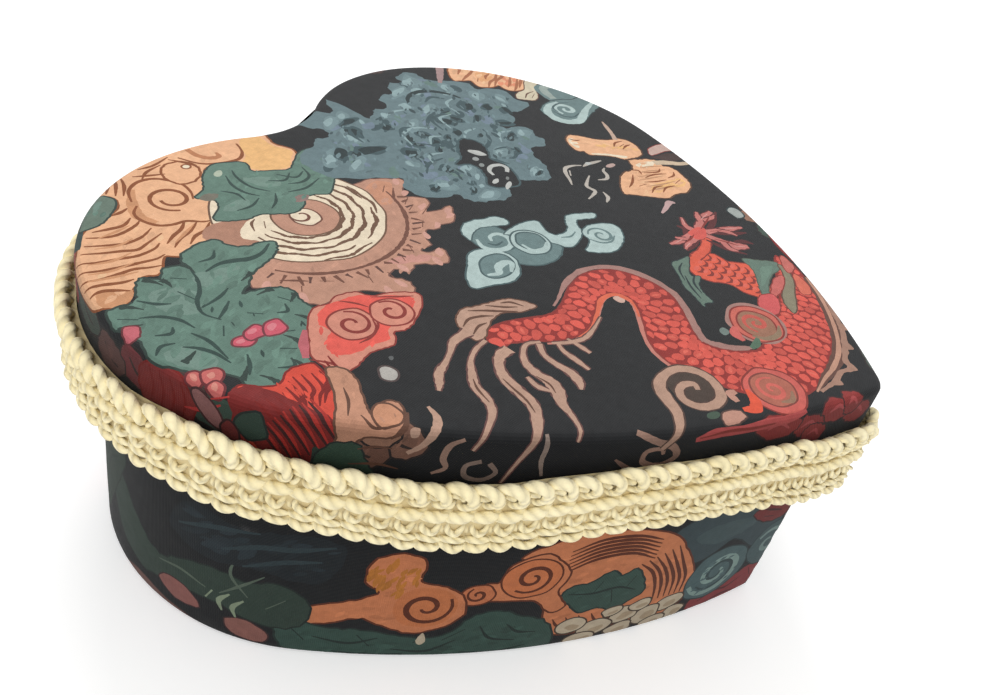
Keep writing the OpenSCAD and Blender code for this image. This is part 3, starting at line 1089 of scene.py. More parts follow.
class Drawing:
    """A print drawn from rounded listed points, in cloth millimetres."""

    def __init__(self, seed):
        self.shapes = []
        self.random = random.Random(seed)

    def roughen(self, line, amount):
        """The closed line with a printed edge's unevenness."""
        before, after = np.roll(line, 1, axis=0), np.roll(line, -1, axis=0)
        steps = np.hypot(*(line - before).T)
        shift = np.array([self.random.uniform(-amount, amount) for _ in line])
        along = after - before
        out = np.column_stack((along[:, 1], -along[:, 0])) / np.maximum(np.hypot(*along.T), 1e-6)[:, None]
        return line + out * (shift * np.minimum(1.0, steps / 0.6))[:, None]

    def blob(self, points, colour, line=None, width=0.6, rough=0.18, per=5):
        """A smooth closed patch, with a contour round it where one is given."""
        outline = self.roughen(catmull(points, True, per), rough)
        if line is not None:
            x, y = outline.T
            turn = math.copysign(1, float(np.dot(x, np.roll(y, -1)) - np.dot(y, np.roll(x, -1))))
            along = np.roll(outline, -1, axis=0) - np.roll(outline, 1, axis=0)
            out = np.column_stack((along[:, 1], -along[:, 0])) * turn
            out /= np.maximum(np.hypot(*out.T), 1e-6)[:, None]
            self.shapes.append((outline + out * width, line))
        self.shapes.append((outline, colour))

    def oval(self, x, y, a, b, turn, colour, line=None, rough=0.12, points=9):
        """A lumpy oval, a by b from its middle, turned in degrees."""
        cos, sin = math.cos(math.radians(turn)), math.sin(math.radians(turn))
        ring = []
        for number in range(points):
            angle = 2 * math.pi * number / points
            grow = 1 + self.random.uniform(-rough, rough)
            u, v = a * grow * math.cos(angle), b * grow * math.sin(angle)
            ring.append((x + u * cos - v * sin, y + u * sin + v * cos))
        self.blob(ring, colour, line, rough=0.0, per=3)

    def mottle(self, points, colour, count, size, turn=30, spread=0.2, slim=0.4):
        """Small streaks, a little darker or lighter than the colour, scattered inside an outline."""
        outline = catmull(points, True, 3)
        low, high = outline.min(axis=0), outline.max(axis=0)
        for _ in range(count):
            spot = np.array([self.random.uniform(low[axis], high[axis]) for axis in range(2)])
            reach = size * self.random.uniform(0.45, 1.0)
            lean = math.radians(self.random.gauss(turn, 16))
            way = np.array((math.cos(lean), math.sin(lean)))
            tone = 1 + spread * self.random.uniform(-1, 1)
            if winding(outline, np.array((spot - way * reach, spot, spot + way * reach))).all():
                side = np.array((-way[1], way[0])) * reach * slim * self.random.uniform(0.6, 1.2)
                ring = [spot - way * reach, spot - way * reach * 0.3 + side,
                        spot + way * reach * 0.5 + side * 0.7, spot + way * reach,
                        spot + way * reach * 0.2 - side, spot - way * reach * 0.6 - side * 0.6]
                self.blob(ring, tuple(min(1.0, v * tone) for v in colour), rough=0.05, per=2)

    def stroke(self, points, widths, colour, rough=0.1, per=5):
        """A brush line through points. Its width runs through the given widths."""
        points = np.asarray(points, float)
        wide = np.interp(np.linspace(0, 1, len(points)), np.linspace(0, 1, len(widths)), widths)
        line = catmull(np.column_stack((points, wide)), per=per)
        along = np.gradient(line[:, :2], axis=0)
        out = np.column_stack((along[:, 1], -along[:, 0])) / np.maximum(np.hypot(*along.T), 1e-6)[:, None]
        half = line[:, 2:3] / 2
        half = half * (1 + np.array([[self.random.uniform(-rough, rough)] for _ in line]))
        self.shapes.append((np.vstack((line[:, :2] + out * half, (line[:, :2] - out * half)[::-1])),
                            colour))

    def curl(self, x, y, r, turns, start, widths, colour, inner=0.12):
        """A spiral line that winds in from radius r. Start is in degrees; negative turns wind clockwise."""
        count = max(5, int(abs(turns) * CURL_STEPS))
        points = []
        for number in range(count + 1):
            t = number / count
            angle = math.radians(start) + 2 * math.pi * turns * t
            reach = r * (1 - (1 - inner) * t)
            points.append((x + reach * math.cos(angle), y + reach * math.sin(angle)))
        self.stroke(points, widths, colour, rough=0.08, per=2)

    def strokes(self, colour, width, *lines):
        """Several tapered lines of one colour."""
        for line in lines:
            self.stroke(line, (width * 0.35, width, width, width * 0.35), colour)

    def scales(self, path, spacing, size, tone, light):
        """Overlapping lumps in staggered rows along a body given as (x, y, half width)."""
        line = catmull(path, per=10)
        steps = np.hypot(*np.diff(line[:, :2], axis=0).T)
        walk = np.concatenate(((0.0,), np.cumsum(steps)))
        row = 0
        at = spacing * 0.6
        while at < walk[-1]:
            x, y, half = (np.interp(at, walk, line[:, column]) for column in range(3))
            ahead = [np.interp(at + 0.5, walk, line[:, column]) for column in range(2)]
            along = np.array((ahead[0] - x, ahead[1] - y))
            along /= max(np.hypot(*along), 1e-6)
            across = np.array((-along[1], along[0]))
            count = max(1, round((2 * half - 0.8) / size))
            wide = (2 * half - 0.8) / count
            shift = 0.5 if row % 2 else 0.0
            for number in range(count + row % 2):
                middle = -half + 0.4 + wide * (number + 0.5 - shift)
                low, high = max(middle - wide * 0.48, -half + 0.2), min(middle + wide * 0.48, half - 0.2)
                if high - low < 0.8:
                    continue
                push = self.random.uniform(-0.3, 0.3)
                skew = self.random.uniform(-0.6, 0.6)
                ring = []
                for u, v in SCALE_FORM:
                    side = (low + high) / 2 + v * (high - low) / 2
                    step = u * spacing * 1.16 + push + skew * v * 0.5 - abs(side / half) ** 2 * 0.8
                    ring.append(np.array((x, y)) + along * step + across * side)
                bright = self.random.uniform(0.8, 1.1)
                self.blob(ring, tuple(min(1.0, v * bright) for v in tone), rough=0.14, per=2)
                self.stroke(ring[2:7], (0.3, 0.8, 1.0, 0.7, 0.3), BODY_GAP, 0.3, 2)
                if self.random.random() < 0.3:
                    spot = np.array((x, y)) + along * (push - 0.05 * spacing)
                    spot = spot + across * ((low + high) / 2 + skew * 0.5)
                    turn = math.degrees(math.atan2(along[1], along[0])) + skew * 20
                    self.oval(*spot, spacing * 0.16, (high - low) * 0.28, turn, light, rough=0.3, points=6)
            at += spacing
            row += 1


def wave_and_scroll(art):
    """Peach waves and scrolls over the left lobe."""
    art.blob([(-114, 65), (-112, 72), (-107, 79), (-100, 84.5), (-92, 89.5), (-79, 92), (-76, 98),
              (-82, 106), (-72, 116), (-50, 122), (-32, 118), (-18, 108), (-14, 97), (-16.5, 90),
              (-15, 83), (-25, 76.5), (-35, 82), (-34, 89), (-44, 93), (-50, 89), (-56, 84), (-60, 82),
              (-57, 77.5), (-62, 73), (-66, 70), (-71, 67), (-78, 66.5), (-84, 65.5), (-88, 68.5),
              (-94, 64.3), (-98, 66), (-104, 63.5), (-109, 61)], PEACH, BROWN, 0.7)
    art.blob([(-113, 64), (-110, 68), (-106, 66), (-103.5, 63.5), (-107, 61), (-111, 61.5)], PEACH_DEEP)
    wash = [(-112, 66), (-107, 77), (-98, 84), (-88, 89), (-80, 89), (-72, 78), (-62, 74), (-72, 70),
            (-84, 68), (-96, 66), (-108, 63)]
    art.mottle(wash, PEACH, 110, 2.6, 28, 0.16)
    art.mottle([(-78, 92), (-80, 106), (-66, 116), (-40, 116), (-22, 104), (-20, 84), (-34, 84),
                (-44, 92), (-58, 86)], PEACH, 90, 2.6, 40, 0.13)
    art.strokes(
        BROWN, 1.15,
        [(-84, 91), (-80, 90.5), (-77, 91)],
        [(-92, 88), (-88, 86.5), (-84, 85.5), (-80, 87)],
        [(-95, 87), (-91, 84), (-87, 83), (-82, 83.5), (-79.5, 84.5)],
        [(-98, 84.5), (-94, 81.5), (-90, 79), (-85, 78.5), (-80, 80)],
        [(-101, 82.5), (-97, 79.5), (-93, 77), (-90, 75), (-86, 75.5), (-80, 76.5)],
        [(-105, 80.5), (-101, 77.5), (-96, 75), (-92, 73), (-87, 72.5), (-84, 73.5)],
        [(-108, 78), (-104, 75), (-99, 72.5), (-94, 70.5), (-90, 69), (-87, 69)],
        [(-110, 74.5), (-106, 72), (-101, 70.5), (-97, 69.5), (-94, 67.5), (-91, 66)],
        [(-111, 71.5), (-107, 70), (-103, 67.5), (-100, 66.5)],
        [(-112, 68.4), (-108.5, 68), (-106, 66), (-104, 63.8)],
        [(-83, 72), (-79, 73.6), (-75, 74.6), (-71, 77)],
        [(-83, 69.5), (-79, 71.4), (-74, 72.4), (-69, 74.5)],
        [(-79, 68), (-75, 69.8), (-71, 70), (-67, 72)],
        [(-76, 99.5), (-73, 102), (-70.5, 105)],
        [(-74.8, 97.3), (-71, 101), (-68.4, 104)],
        [(-73.3, 96), (-69.4, 99.6), (-66.8, 103.4)])
    art.strokes(PEACH_DEEP, 1.0, [(-93, 85), (-88, 84.5), (-83, 84.5)],
                [(-97, 82), (-92, 79.5), (-87, 79.5)], [(-103, 78), (-98, 75.5), (-92, 75)],
                [(-106, 75), (-101, 72.5), (-95, 71.5)], [(-108, 73), (-103, 70.5), (-97, 68)],
                [(-81, 71), (-76, 72.5), (-71, 74)])
    art.stroke([(-77, 81), (-78, 86), (-75.5, 90.5), (-72.5, 94), (-69, 97)], (1.5, 3.2, 3.2, 2.4, 1.2),
               PEACH_DEEP)
    art.stroke([(-65, 72), (-68, 73.2), (-71, 76.4), (-75, 77.6), (-78, 80), (-79, 84.4), (-77.8, 88),
                (-74.4, 90.3)], (0.5, 1.1, 1.2, 1.1, 0.6), BROWN)
    art.stroke([(-74, 92.5), (-70.5, 97), (-65.5, 99), (-61, 98), (-58.4, 95), (-57, 90.6), (-58.5, 86),
                (-61, 83)], (0.6, 1.3, 1.2, 1.0, 0.5), BROWN)
    art.curl(-65.2, 87, 6.4, -1.25, 245, (0.9, 1.3, 1.3, 0.9), BROWN, 0.45)
    art.blob([(-57.4, 92), (-57, 97), (-53, 100.6), (-48, 100), (-46, 96), (-49, 91.4), (-54, 89.8)],
             PEACH, BROWN, 0.8)
    art.oval(-48.3, 96.8, 1.2, 1.0, 0, CREAM, BROWN)
    art.strokes(BROWN, 1.1, [(-64, 102), (-60, 99.6), (-56, 97.5)], [(-63, 99.4), (-59, 101.5), (-53, 102)],
                [(-60, 104), (-55, 103), (-48, 104)], [(-49, 103), (-47, 99), (-45.5, 94)])
    art.stroke([(-46, 102), (-44, 96), (-40, 92.6), (-33, 90.4), (-28, 93), (-25.4, 97.4)],
               (0.6, 1.2, 1.3, 0.6), BROWN)
    art.stroke([(-40, 104), (-40.6, 99.6), (-39, 96.2), (-36, 95.2), (-34.8, 97.4)], (1.8, 2.2, 2.0, 0.9),
               srgb(196, 138, 104))
    art.blob([(-33.5, 88), (-29, 91), (-26, 95.4), (-22, 98.5), (-16, 97), (-17.5, 90), (-15.5, 83.5),
              (-20, 80.6), (-25, 77.6), (-31, 80), (-34.4, 83.6)], PEACH_LIT)
    art.stroke([(-100, 85), (-94, 91), (-87, 97), (-80, 102)], (2.0, 3.4, 3.4, 2.0), srgb(58, 76, 74))
    art.blob([(-93.5, 90.4), (-90, 93.8), (-86, 98), (-82, 101.4), (-78.6, 100.8), (-76.4, 96.6),
              (-79.6, 93), (-84.5, 90.8), (-88.5, 89.6)], srgb(114, 131, 119), SAGE_EDGE, 0.6)
    art.mottle([(-92, 90.6), (-84, 99), (-78, 100), (-78, 95), (-86, 91)], SAGE, 12, 1.8, 30, 0.3)
    art.stroke([(-85, 94.4), (-81.5, 97), (-79.5, 97.6)], (0.7, 1.6, 0.7), SAGE_LIT)


def leaves(art):
    """The two lobed sage leaves with their dark veins."""
    art.blob([(-65, 72), (-59, 75.4), (-57, 79), (-60, 83), (-55, 84.4), (-51, 88), (-47, 91),
              (-42, 92.6), (-37, 91), (-33.4, 87.6), (-36, 83), (-32, 79.8), (-26, 76.4), (-20, 79),
              (-13, 81.5), (-6, 78), (-8, 68), (-14, 62), (-20, 64), (-24, 62), (-29, 59.6), (-33, 62),
              (-37, 63), (-41, 60.4), (-46, 60), (-50, 62.6), (-53.4, 65.6), (-58, 66.4), (-62, 68.6)],
             SAGE, SAGE_EDGE, 0.6)
    art.blob([(-42, 82), (-38, 80), (-34, 76), (-36, 72), (-41, 75)], SAGE_LIT, rough=0.3)
    art.blob([(-60, 73), (-55, 75), (-50, 73), (-54, 70)], SAGE_LIT, rough=0.3)
    art.blob([(-41, 63), (-38, 65), (-35, 63), (-38, 61.4)], srgb(150, 128, 122))
    art.blob([(-60, 82), (-56, 82.6), (-54, 80), (-58, 79)], srgb(128, 124, 112))
    art.mottle([(-62, 72), (-56, 82), (-46, 90), (-36, 88), (-30, 78), (-14, 80), (-8, 72), (-18, 64),
                (-34, 63), (-48, 62), (-58, 68)], SAGE, 150, 2.6, 25, 0.22)
    art.strokes(SAGE_VEIN, 1.0, [(-40, 87), (-42, 84), (-43.4, 80), (-43.6, 76), (-41.6, 71.6)],
                [(-44, 86), (-47, 81), (-47.6, 76), (-46, 72)], [(-49, 65.4), (-45, 67), (-41.4, 70)],
                [(-38, 68), (-32, 66), (-24, 67)], [(-34, 71), (-30, 69), (-25, 70), (-22, 75)],
                [(-37, 76), (-33, 73), (-28, 75)], [(-52, 81), (-50, 77), (-51, 73)],
                [(-32, 77), (-29, 72), (-24, 73)], [(-57, 71), (-52, 70), (-47, 71.4)])
    art.oval(-44.6, 88.2, 2.0, 1.2, 20, srgb(196, 206, 188))
    art.blob([(-116, 50), (-119, 43), (-118, 36), (-115, 31), (-112, 26), (-112.5, 21), (-108, 16.8),
              (-103.4, 18.8), (-100, 15.6), (-96.4, 18), (-93, 22), (-88, 24.4), (-84, 25.4), (-80, 29),
              (-79.4, 33), (-77.4, 37.6), (-79.6, 41), (-84, 43.4), (-87.4, 44.6), (-82, 46.8),
              (-78.6, 49), (-74, 49.6), (-69, 50.2), (-65, 51.6), (-62.6, 54), (-65, 56.2), (-70, 57.6),
              (-72.8, 61), (-73, 65), (-78, 66.4), (-84, 66), (-87.6, 63), (-92, 64.6), (-96, 62),
              (-99, 65.4), (-103, 63), (-106, 59.8), (-110, 60.6), (-113.6, 61), (-116.4, 56)], SAGE,
             SAGE_EDGE, 0.7, 0.3)
    art.blob([(-102, 60), (-96, 58), (-94, 52), (-99, 47), (-104, 50), (-105, 56)], SAGE_LIT, rough=0.4)
    art.blob([(-117, 42), (-112, 41), (-110, 34), (-113, 31), (-117, 36)], SAGE_LIT, rough=0.4)
    art.blob([(-90, 58), (-84, 56), (-78, 53), (-84, 51), (-91, 52)], SAGE_LIT, rough=0.3)
    art.mottle([(-116, 50), (-117, 36), (-111, 24), (-98, 18), (-84, 27), (-80, 38), (-88, 45), (-66, 52),
                (-66, 55), (-76, 64), (-94, 62), (-112, 60)], SAGE, 260, 2.8, 20, 0.24)
    art.mottle([(-116, 50), (-117, 36), (-111, 24), (-98, 18), (-84, 27), (-80, 38), (-88, 45), (-66, 52),
                (-76, 64), (-94, 62), (-112, 60)], SAGE_VEIN, 14, 1.5, 50, 0.25, 0.3)
    art.strokes(
        SAGE_VEIN, 1.1,
        [(-88, 60), (-90, 56), (-93.4, 52.4), (-97, 50), (-99.6, 46), (-98.6, 41.4)],
        [(-97, 56), (-96.6, 51)], [(-99, 42), (-95, 43.4), (-91.6, 45)],
        [(-98, 47.6), (-92, 47.6), (-87.6, 48.6)], [(-110.6, 55), (-107, 52), (-105, 48), (-105, 43.6)],
        [(-114, 58), (-111, 54.6)], [(-106, 60), (-104, 56), (-101.6, 53.6)],
        [(-112, 41), (-110, 38), (-109, 34), (-109.4, 29.6)], [(-107, 43), (-106.6, 38), (-108.6, 31)],
        [(-118, 43), (-115, 44.4), (-112, 43)], [(-104.6, 29), (-107.4, 26), (-110, 24)],
        [(-92.4, 39), (-90, 36)], [(-87.4, 34), (-85, 32.6), (-83, 35)], [(-82, 38), (-80.8, 34)],
        [(-104, 21), (-101, 18.6), (-99, 21)], [(-98, 25), (-95.4, 22)], [(-103, 37), (-100, 39.6)],
        [(-113, 48), (-110, 46), (-108, 47.4)], [(-95, 30), (-90, 26.6)], [(-84, 61), (-80, 60), (-77, 62)],
        [(-94, 61), (-91.6, 58)])
    for x, y, dx, dy in ((-99, 65, 1.6, -5), (-87.6, 63.4, -0.6, -5), (-110.4, 61, 3, -4.6),
                         (-116.6, 55, 5, -2.4), (-78, 49, -5, -0.6), (-80, 41, -5, 1),
                         (-77.6, 36, -4, -1.6), (-84, 26, -1, 4.6), (-93, 22.6, -0.4, 5),
                         (-100, 16, 0.6, 5), (-108, 17.4, -0.6, 5), (-112.4, 24, 4.6, 2.4),
                         (-116, 37, 5, 1), (-96, 62, -0.6, -4)):
        art.stroke([(x, y), (x + dx * 0.5 + 0.4, y + dy * 0.5), (x + dx, y + dy)], (2.0, 1.1, 0.3),
                   SAGE_EDGE, 0.2)
    art.stroke([(-86, 57), (-81, 57), (-77, 55.4), (-73.6, 53.4), (-69, 53), (-64, 54.6)],
               (0.6, 1.4, 2.0, 1.4, 0.6), SAGE_VEIN)
    for x, y, a, b, turn in ((-101.6, 32.6, 2.8, 1.7, -25), (-97, 33, 3.0, 2.0, 10),
                             (-92.4, 30.8, 3.2, 2.4, 25)):
        art.oval(x, y, a, b, turn, PINK, srgb(120, 58, 66), 0.2)
        art.oval(x - 0.3, y + 0.5, a * 0.5, b * 0.4, turn, srgb(226, 142, 150), rough=0.3, points=7)
    art.blob([(-118.4, 50.8), (-115.6, 54.6), (-113, 53), (-115.4, 50.4)], srgb(206, 116, 124),
             srgb(110, 52, 56), 0.5)
    for x, y, a, b, turn in ((-118.4, 32, 2.4, 1.6, 60), (-115.6, 29.6, 2.8, 2.0, 20),
                             (-118, 26.6, 2.2, 1.5, 40)):
        art.oval(x, y, a, b, turn, srgb(206, 116, 112), srgb(110, 46, 50), 0.25)
        art.oval(x + 0.3, y + 0.5, a * 0.5, b * 0.4, turn, srgb(226, 156, 144), rough=0.3, points=7)


def sun(art):
    """The ringed disc with its scalloped flame fringe."""
    art.blob([(-83, 44.6), (-80, 47.6), (-76, 50), (-70, 51), (-73, 58), (-72, 63), (-66.5, 70.5),
              (-60, 67), (-52, 64), (-30, 60), (-16, 57), (-12, 56), (-8, 53), (-4, 49), (-9, 46),
              (-14, 43.6), (-11, 41), (-9, 38), (-10.4, 35.6), (-16, 34), (-13, 31.4), (-7, 30),
              (-9.6, 27.6), (-14.4, 25), (-19, 26.4), (-22, 26), (-25.4, 28.4), (-30, 25), (-31.4, 23),
              (-36.6, 23.6), (-35.6, 20.4), (-31, 19.4), (-34, 15.6), (-36.4, 14.4), (-40.4, 17.4),
              (-43.4, 20.6), (-47, 20), (-48.6, 20.4), (-50.4, 23.4), (-54.6, 22.8), (-53.2, 19.4),
              (-53.4, 16), (-57, 14), (-61, 19), (-65, 24), (-70, 27), (-76, 27.6), (-79, 31), (-80, 35),
              (-77.6, 39), (-80, 42)], MAUVE, srgb(120, 86, 76), 0.5, 0.35, 3)
    art.blob([(-22, 52), (-14, 55), (-9, 51), (-16, 45), (-22, 44)], srgb(214, 160, 134), rough=0.3)
    art.blob([(-50, 27), (-40, 24), (-36, 17), (-40, 19), (-46, 23)], srgb(212, 160, 148), rough=0.3)
    art.mottle([(-80, 44), (-70, 52), (-70, 64), (-56, 62), (-30, 58), (-12, 54), (-12, 34), (-26, 28),
                (-36, 18), (-52, 18), (-64, 26), (-76, 30)], MAUVE, 170, 2.6, 20, 0.18)
    disc = (-45.5, 58.5)
    radii = (25.2, 21.6, 18.4, 15.2, 12.2)
    art.oval(disc[0] + 0.6, disc[1], 25.4, 24.4, 0, CREAM, SUN_LINE, 0.02, 26)
    for number, reach in enumerate(radii):
        x = disc[0] + 0.8 - number * 0.25
        line = []
        for step in range(30):
            angle = math.radians(178 + step * 205 / 29)
            wave = 1 + 0.018 * math.sin(step * 1.7 + number * 2.1)
            line.append((x + (reach + 0.4) * wave * math.cos(angle),
                         disc[1] - 0.6 + reach * 0.95 * wave * math.sin(angle)))
        if number == 1:
            art.stroke(line[:13], (0.5, 1.2, 0.9, 1.3, 0.4), SUN_LINE, 0.3, 3)
            art.stroke(line[14:22], (0.4, 1.1, 1.3, 0.4), SUN_LINE, 0.3, 3)
            art.stroke(line[23:], (0.4, 1.3, 1.1, 0.5), SUN_LINE, 0.3, 3)
            outer = [(x - 1.2 + (px - x) * 1.1, py * 1.1 - disc[1] * 0.1) for px, py in line]
            art.stroke(outer[8:15], (0.4, 1.1, 0.5), SUN_LINE, 0.3, 3)
            art.stroke(outer[20:27], (0.4, 1.2, 0.9, 0.4), SUN_LINE, 0.3, 3)
        elif number:
            art.stroke(line, (0.5, 1.3, 0.8, 1.4, 1.0, 1.4, 0.6), SUN_LINE, 0.3, 3)
    art.oval(-45.5, 56, 10.0, 9.0, 0, MAUVE, SUN_LINE, 0.03, 16)
    art.oval(-45.6, 56.2, 4.2, 4.2, 0, CREAM, MAUVE_LINE, 0.06, 12)
    art.curl(-46, 57.4, 3.4, 0.8, 150, (0.7, 1.0, 0.5), MAUVE_LINE, 0.3)
    art.blob([(-75, 66), (-72, 70), (-66, 70.5), (-60, 68), (-57, 66), (-62, 65), (-66, 62.5), (-67, 60),
              (-65, 57), (-68, 55), (-73, 58)], srgb(186, 142, 122), rough=0.2)
    art.strokes(SUN_LINE, 0.9, [(-62, 61), (-59.6, 64), (-57, 65)], [(-58.6, 60), (-56, 62.6)])
    rim = []
    for step in range(26):
        angle = math.radians(205 + step * 136 / 25)
        rim.append((-44.5 + 31.5 * math.cos(angle), 58.5 + 30.2 * math.sin(angle)))
    art.stroke(rim, (0.6, 1.3, 1.0, 1.4, 1.1, 1.4, 0.6), MAUVE_LINE, 0.25, 3)
    for number in range(24):
        angle = math.radians(205 + number * 5.6)
        low, high = 33.0, 34.6 + art.random.uniform(0, 2.6)
        lean = art.random.uniform(-0.03, 0.05)
        art.stroke([(-44.5 + low * math.cos(angle), 58.5 + low * 0.96 * math.sin(angle)),
                    (-44.5 + high * math.cos(angle + lean), 58.5 + high * 0.96 * math.sin(angle + lean))],
                   (1.2, 0.5), MAUVE_LINE if number % 3 else srgb(96, 64, 56), 0.3, 2)
    for x, y, turn in ((-78, 33, 60), (-80, 43, 20), (-60, 19, 60), (-55, 18, 90), (-48, 22, 80),
                       (-38, 17, 60), (-33, 19, 30), (-28, 26, 50), (-20, 27, 20), (-12, 27, 10),
                       (-10, 29, 10), (-14, 36, 15), (-11, 44, 20), (-7, 50, 30)):
        art.oval(x, y, 2.2, 1.1, turn, srgb(222, 174, 160), rough=0.3, points=7)
    art.strokes(MAUVE_LINE, 0.9, [(-76, 42), (-73, 39), (-71, 36.6)], [(-76, 35), (-74, 36.6)],
                [(-69, 34.6), (-66.4, 31.8)], [(-18, 43.4), (-14.6, 46), (-11, 48.4)],
                [(-17, 40.4), (-12.6, 42)], [(-16, 49), (-12, 51)], [(-19, 37.6), (-15, 38.6)],
                [(-18, 33.6), (-14, 34.4)], [(-44.6, 23.4), (-43, 25.6)], [(-39, 24), (-37, 26.6)],
                [(-24.6, 29.6), (-21, 31.6)], [(-60, 24), (-58, 27)], [(-54, 21), (-53, 24)])


def coral_cloud(art):
    """Coral and tan scrolls, red waves and the tan rock at the left edge."""
    art.blob([(-96.4, 13), (-95.4, 18), (-91, 21.6), (-86, 25.6), (-80, 28.6), (-76, 27), (-72, 27.4),
              (-67, 25), (-65.6, 21), (-60, 17.4), (-56, 12.4), (-60.4, 9), (-66, 7.4), (-71, 7),
              (-74.4, 8.6), (-78, 6), (-82, 7.4), (-86, 8.6), (-91, 8.2), (-95.4, 9)], CORAL_TAN, MAROON,
             0.5)
    art.blob([(-91.6, 15), (-88, 19), (-84.6, 20.4), (-84, 24.4), (-79, 27.2), (-73, 26), (-68, 24),
              (-64, 19.6), (-58.4, 13.6), (-60.4, 11), (-66, 9.4), (-74, 10.4), (-77.4, 7.6), (-82, 9.6),
              (-88, 11)], CORAL, rough=0.25)
    art.mottle([(-94, 12), (-86, 24), (-74, 25), (-64, 19), (-58, 13), (-68, 9), (-82, 9)], CORAL, 60,
               2.2, 30, 0.16)
    art.oval(-78.6, 18, 6.2, 5.8, 0, CORAL_TAN, MAROON, 0.05, 14)
    art.curl(-78.6, 18, 5.2, -1.25, 60, (0.6, 1.1, 1.1, 0.8), MAROON, 0.2)
    art.oval(-67.6, 13.4, 5.6, 5.2, 0, CORAL_TAN, MAROON, 0.05, 14)
    art.curl(-67.4, 13.6, 4.6, -1.15, 80, (0.6, 1.1, 1.1, 0.8), MAROON, 0.2)
    art.strokes(MAROON, 0.8, [(-73, 26), (-71, 22.4), (-70, 19)], [(-96, 10), (-94.6, 12), (-95.6, 15),
                (-97, 17.6)], [(-84, 12.4), (-80, 11.6), (-76, 12.6), (-73.6, 15.4)],
                [(-66, 21), (-61, 16), (-57.6, 13)])
    art.stroke([(-97, 18.4), (-93, 22), (-88.4, 25)], (1.6, 2.4, 1.0), srgb(196, 112, 118))
    art.blob([(-98.6, 12.6), (-98, 16.4), (-103, 18.4), (-108, 17), (-112, 20), (-114.4, 23.4),
              (-119, 21.6), (-126, 16), (-132, 6), (-128, -6), (-118, -3.4), (-110, 1), (-104, 5),
              (-100.6, 9.4)], RED, RED_LINE, 0.6)
    art.blob([(-112, 21), (-110.5, 8), (-110, 1), (-118, -4), (-124, -6), (-131, 2), (-127, 13),
              (-119, 23)], srgb(128, 40, 38), rough=0.3)
    for number in range(15):
        x = -121 + number * 1.75
        lean = 2.4 + 0.25 * number
        top = 18.5 - 0.25 * number + 1.2 * math.sin(number)
        art.strokes(RED_LINE, 0.95, [(x - lean, top - 15 + number * 0.6),
                                     (x - lean * 0.4, top - 10 + number * 0.3), (x + 0.6, top - 6),
                                     (x + lean * 0.6, top - 1)])
    art.mottle([(-112, 18), (-100, 16), (-99, 12), (-105, 5), (-110, 3)], RED, 26, 2.0, 60, 0.2)
    for number in range(7):
        shift = 2.2 * number
        art.strokes(srgb(62, 20, 20), 1.1, [(-128 + shift, 4 - 1.2 * number),
                                            (-124.5 + shift, 9 - 1.0 * number),
                                            (-122 + shift, 14 - 0.8 * number)])
        art.strokes(srgb(180, 62, 56), 0.9, [(-127 + shift, 4.6 - 1.2 * number),
                                             (-123.6 + shift, 9 - 1.0 * number),
                                             (-121 + shift, 14 - 0.8 * number)])
    art.oval(-122.5, 16, 4.4, 3.8, 30, srgb(58, 76, 66), srgb(34, 44, 40), 0.2)
    art.strokes(srgb(196, 74, 72), 1.2, [(-121, 24), (-125, 28), (-127, 33)], [(-118, 23), (-121, 27)])
    art.oval(-124, 27, 5.0, 2.2, 55, srgb(156, 112, 110), srgb(70, 40, 40), 0.2)
    art.oval(-128, 20, 4.4, 2.4, 40, srgb(120, 52, 50), srgb(52, 26, 26), 0.25)
    art.oval(-121, -3, 4.4, 3.0, 30, srgb(50, 66, 58), None, 0.3)
    art.blob([(-110, 1), (-104.6, 4.6), (-100, 9.4), (-97, 12.6), (-94.6, 9.6), (-96, 5.4), (-99.6, 1.4),
              (-102.4, -1.6), (-104, -4.4), (-100.4, -3.2), (-97, -4.6), (-96.8, -7.4), (-100.6, -10.6),
              (-105.6, -10.4), (-108.6, -6.4), (-112, -5.6), (-116, -10), (-122, -16), (-126, -10),
              (-120, -3), (-114, -2)], TAN, TAN_LINE, 0.6)
    art.blob([(-112, -6), (-115, -11), (-120, -18), (-128, -14), (-125, -3), (-117, -1)],
             srgb(58, 80, 66), srgb(34, 44, 40), 0.5, 0.4)
    art.mottle([(-109, 1), (-98, 11), (-96, 8), (-103, -1), (-114, -3)], TAN, 24, 2.0, 40, 0.2)
    art.oval(-101.2, -6.6, 3.6, 3.2, 30, srgb(214, 160, 132), TAN_LINE, 0.15)
    art.mottle([(-104, -7), (-101, -4), (-98, -7), (-101, -9)], TAN, 12, 1.2, 30, 0.25)
    art.stroke([(-106, -10.8), (-102, -11.6), (-97.6, -9.4)], (0.6, 1.4, 0.8), TAN_LINE)
    art.strokes(TAN_LINE, 0.8, [(-107, 0), (-103, 2.6), (-100, 6)], [(-113, -7), (-110, -9.6), (-108, -13)],
                [(-118, -8), (-114, -13), (-112, -18)], [(-105, -2), (-106, -6), (-104, -8.6)])
    art.stroke([(-107, -16.4), (-103, -17.6), (-98, -17.2), (-94.6, -15.4), (-92.8, -12)],
               (1.0, 1.6, 2.2, 1.8, 0.8), STREAMER)
    art.oval(-101.4, -14, 1.4, 1.1, 20, STREAMER)
    art.oval(-89, 1, 2.5, 2.1, 50, srgb(196, 192, 186), srgb(84, 70, 68))
    art.oval(-83.6, 3.6, 0.8, 0.6, 30, srgb(100, 102, 102))


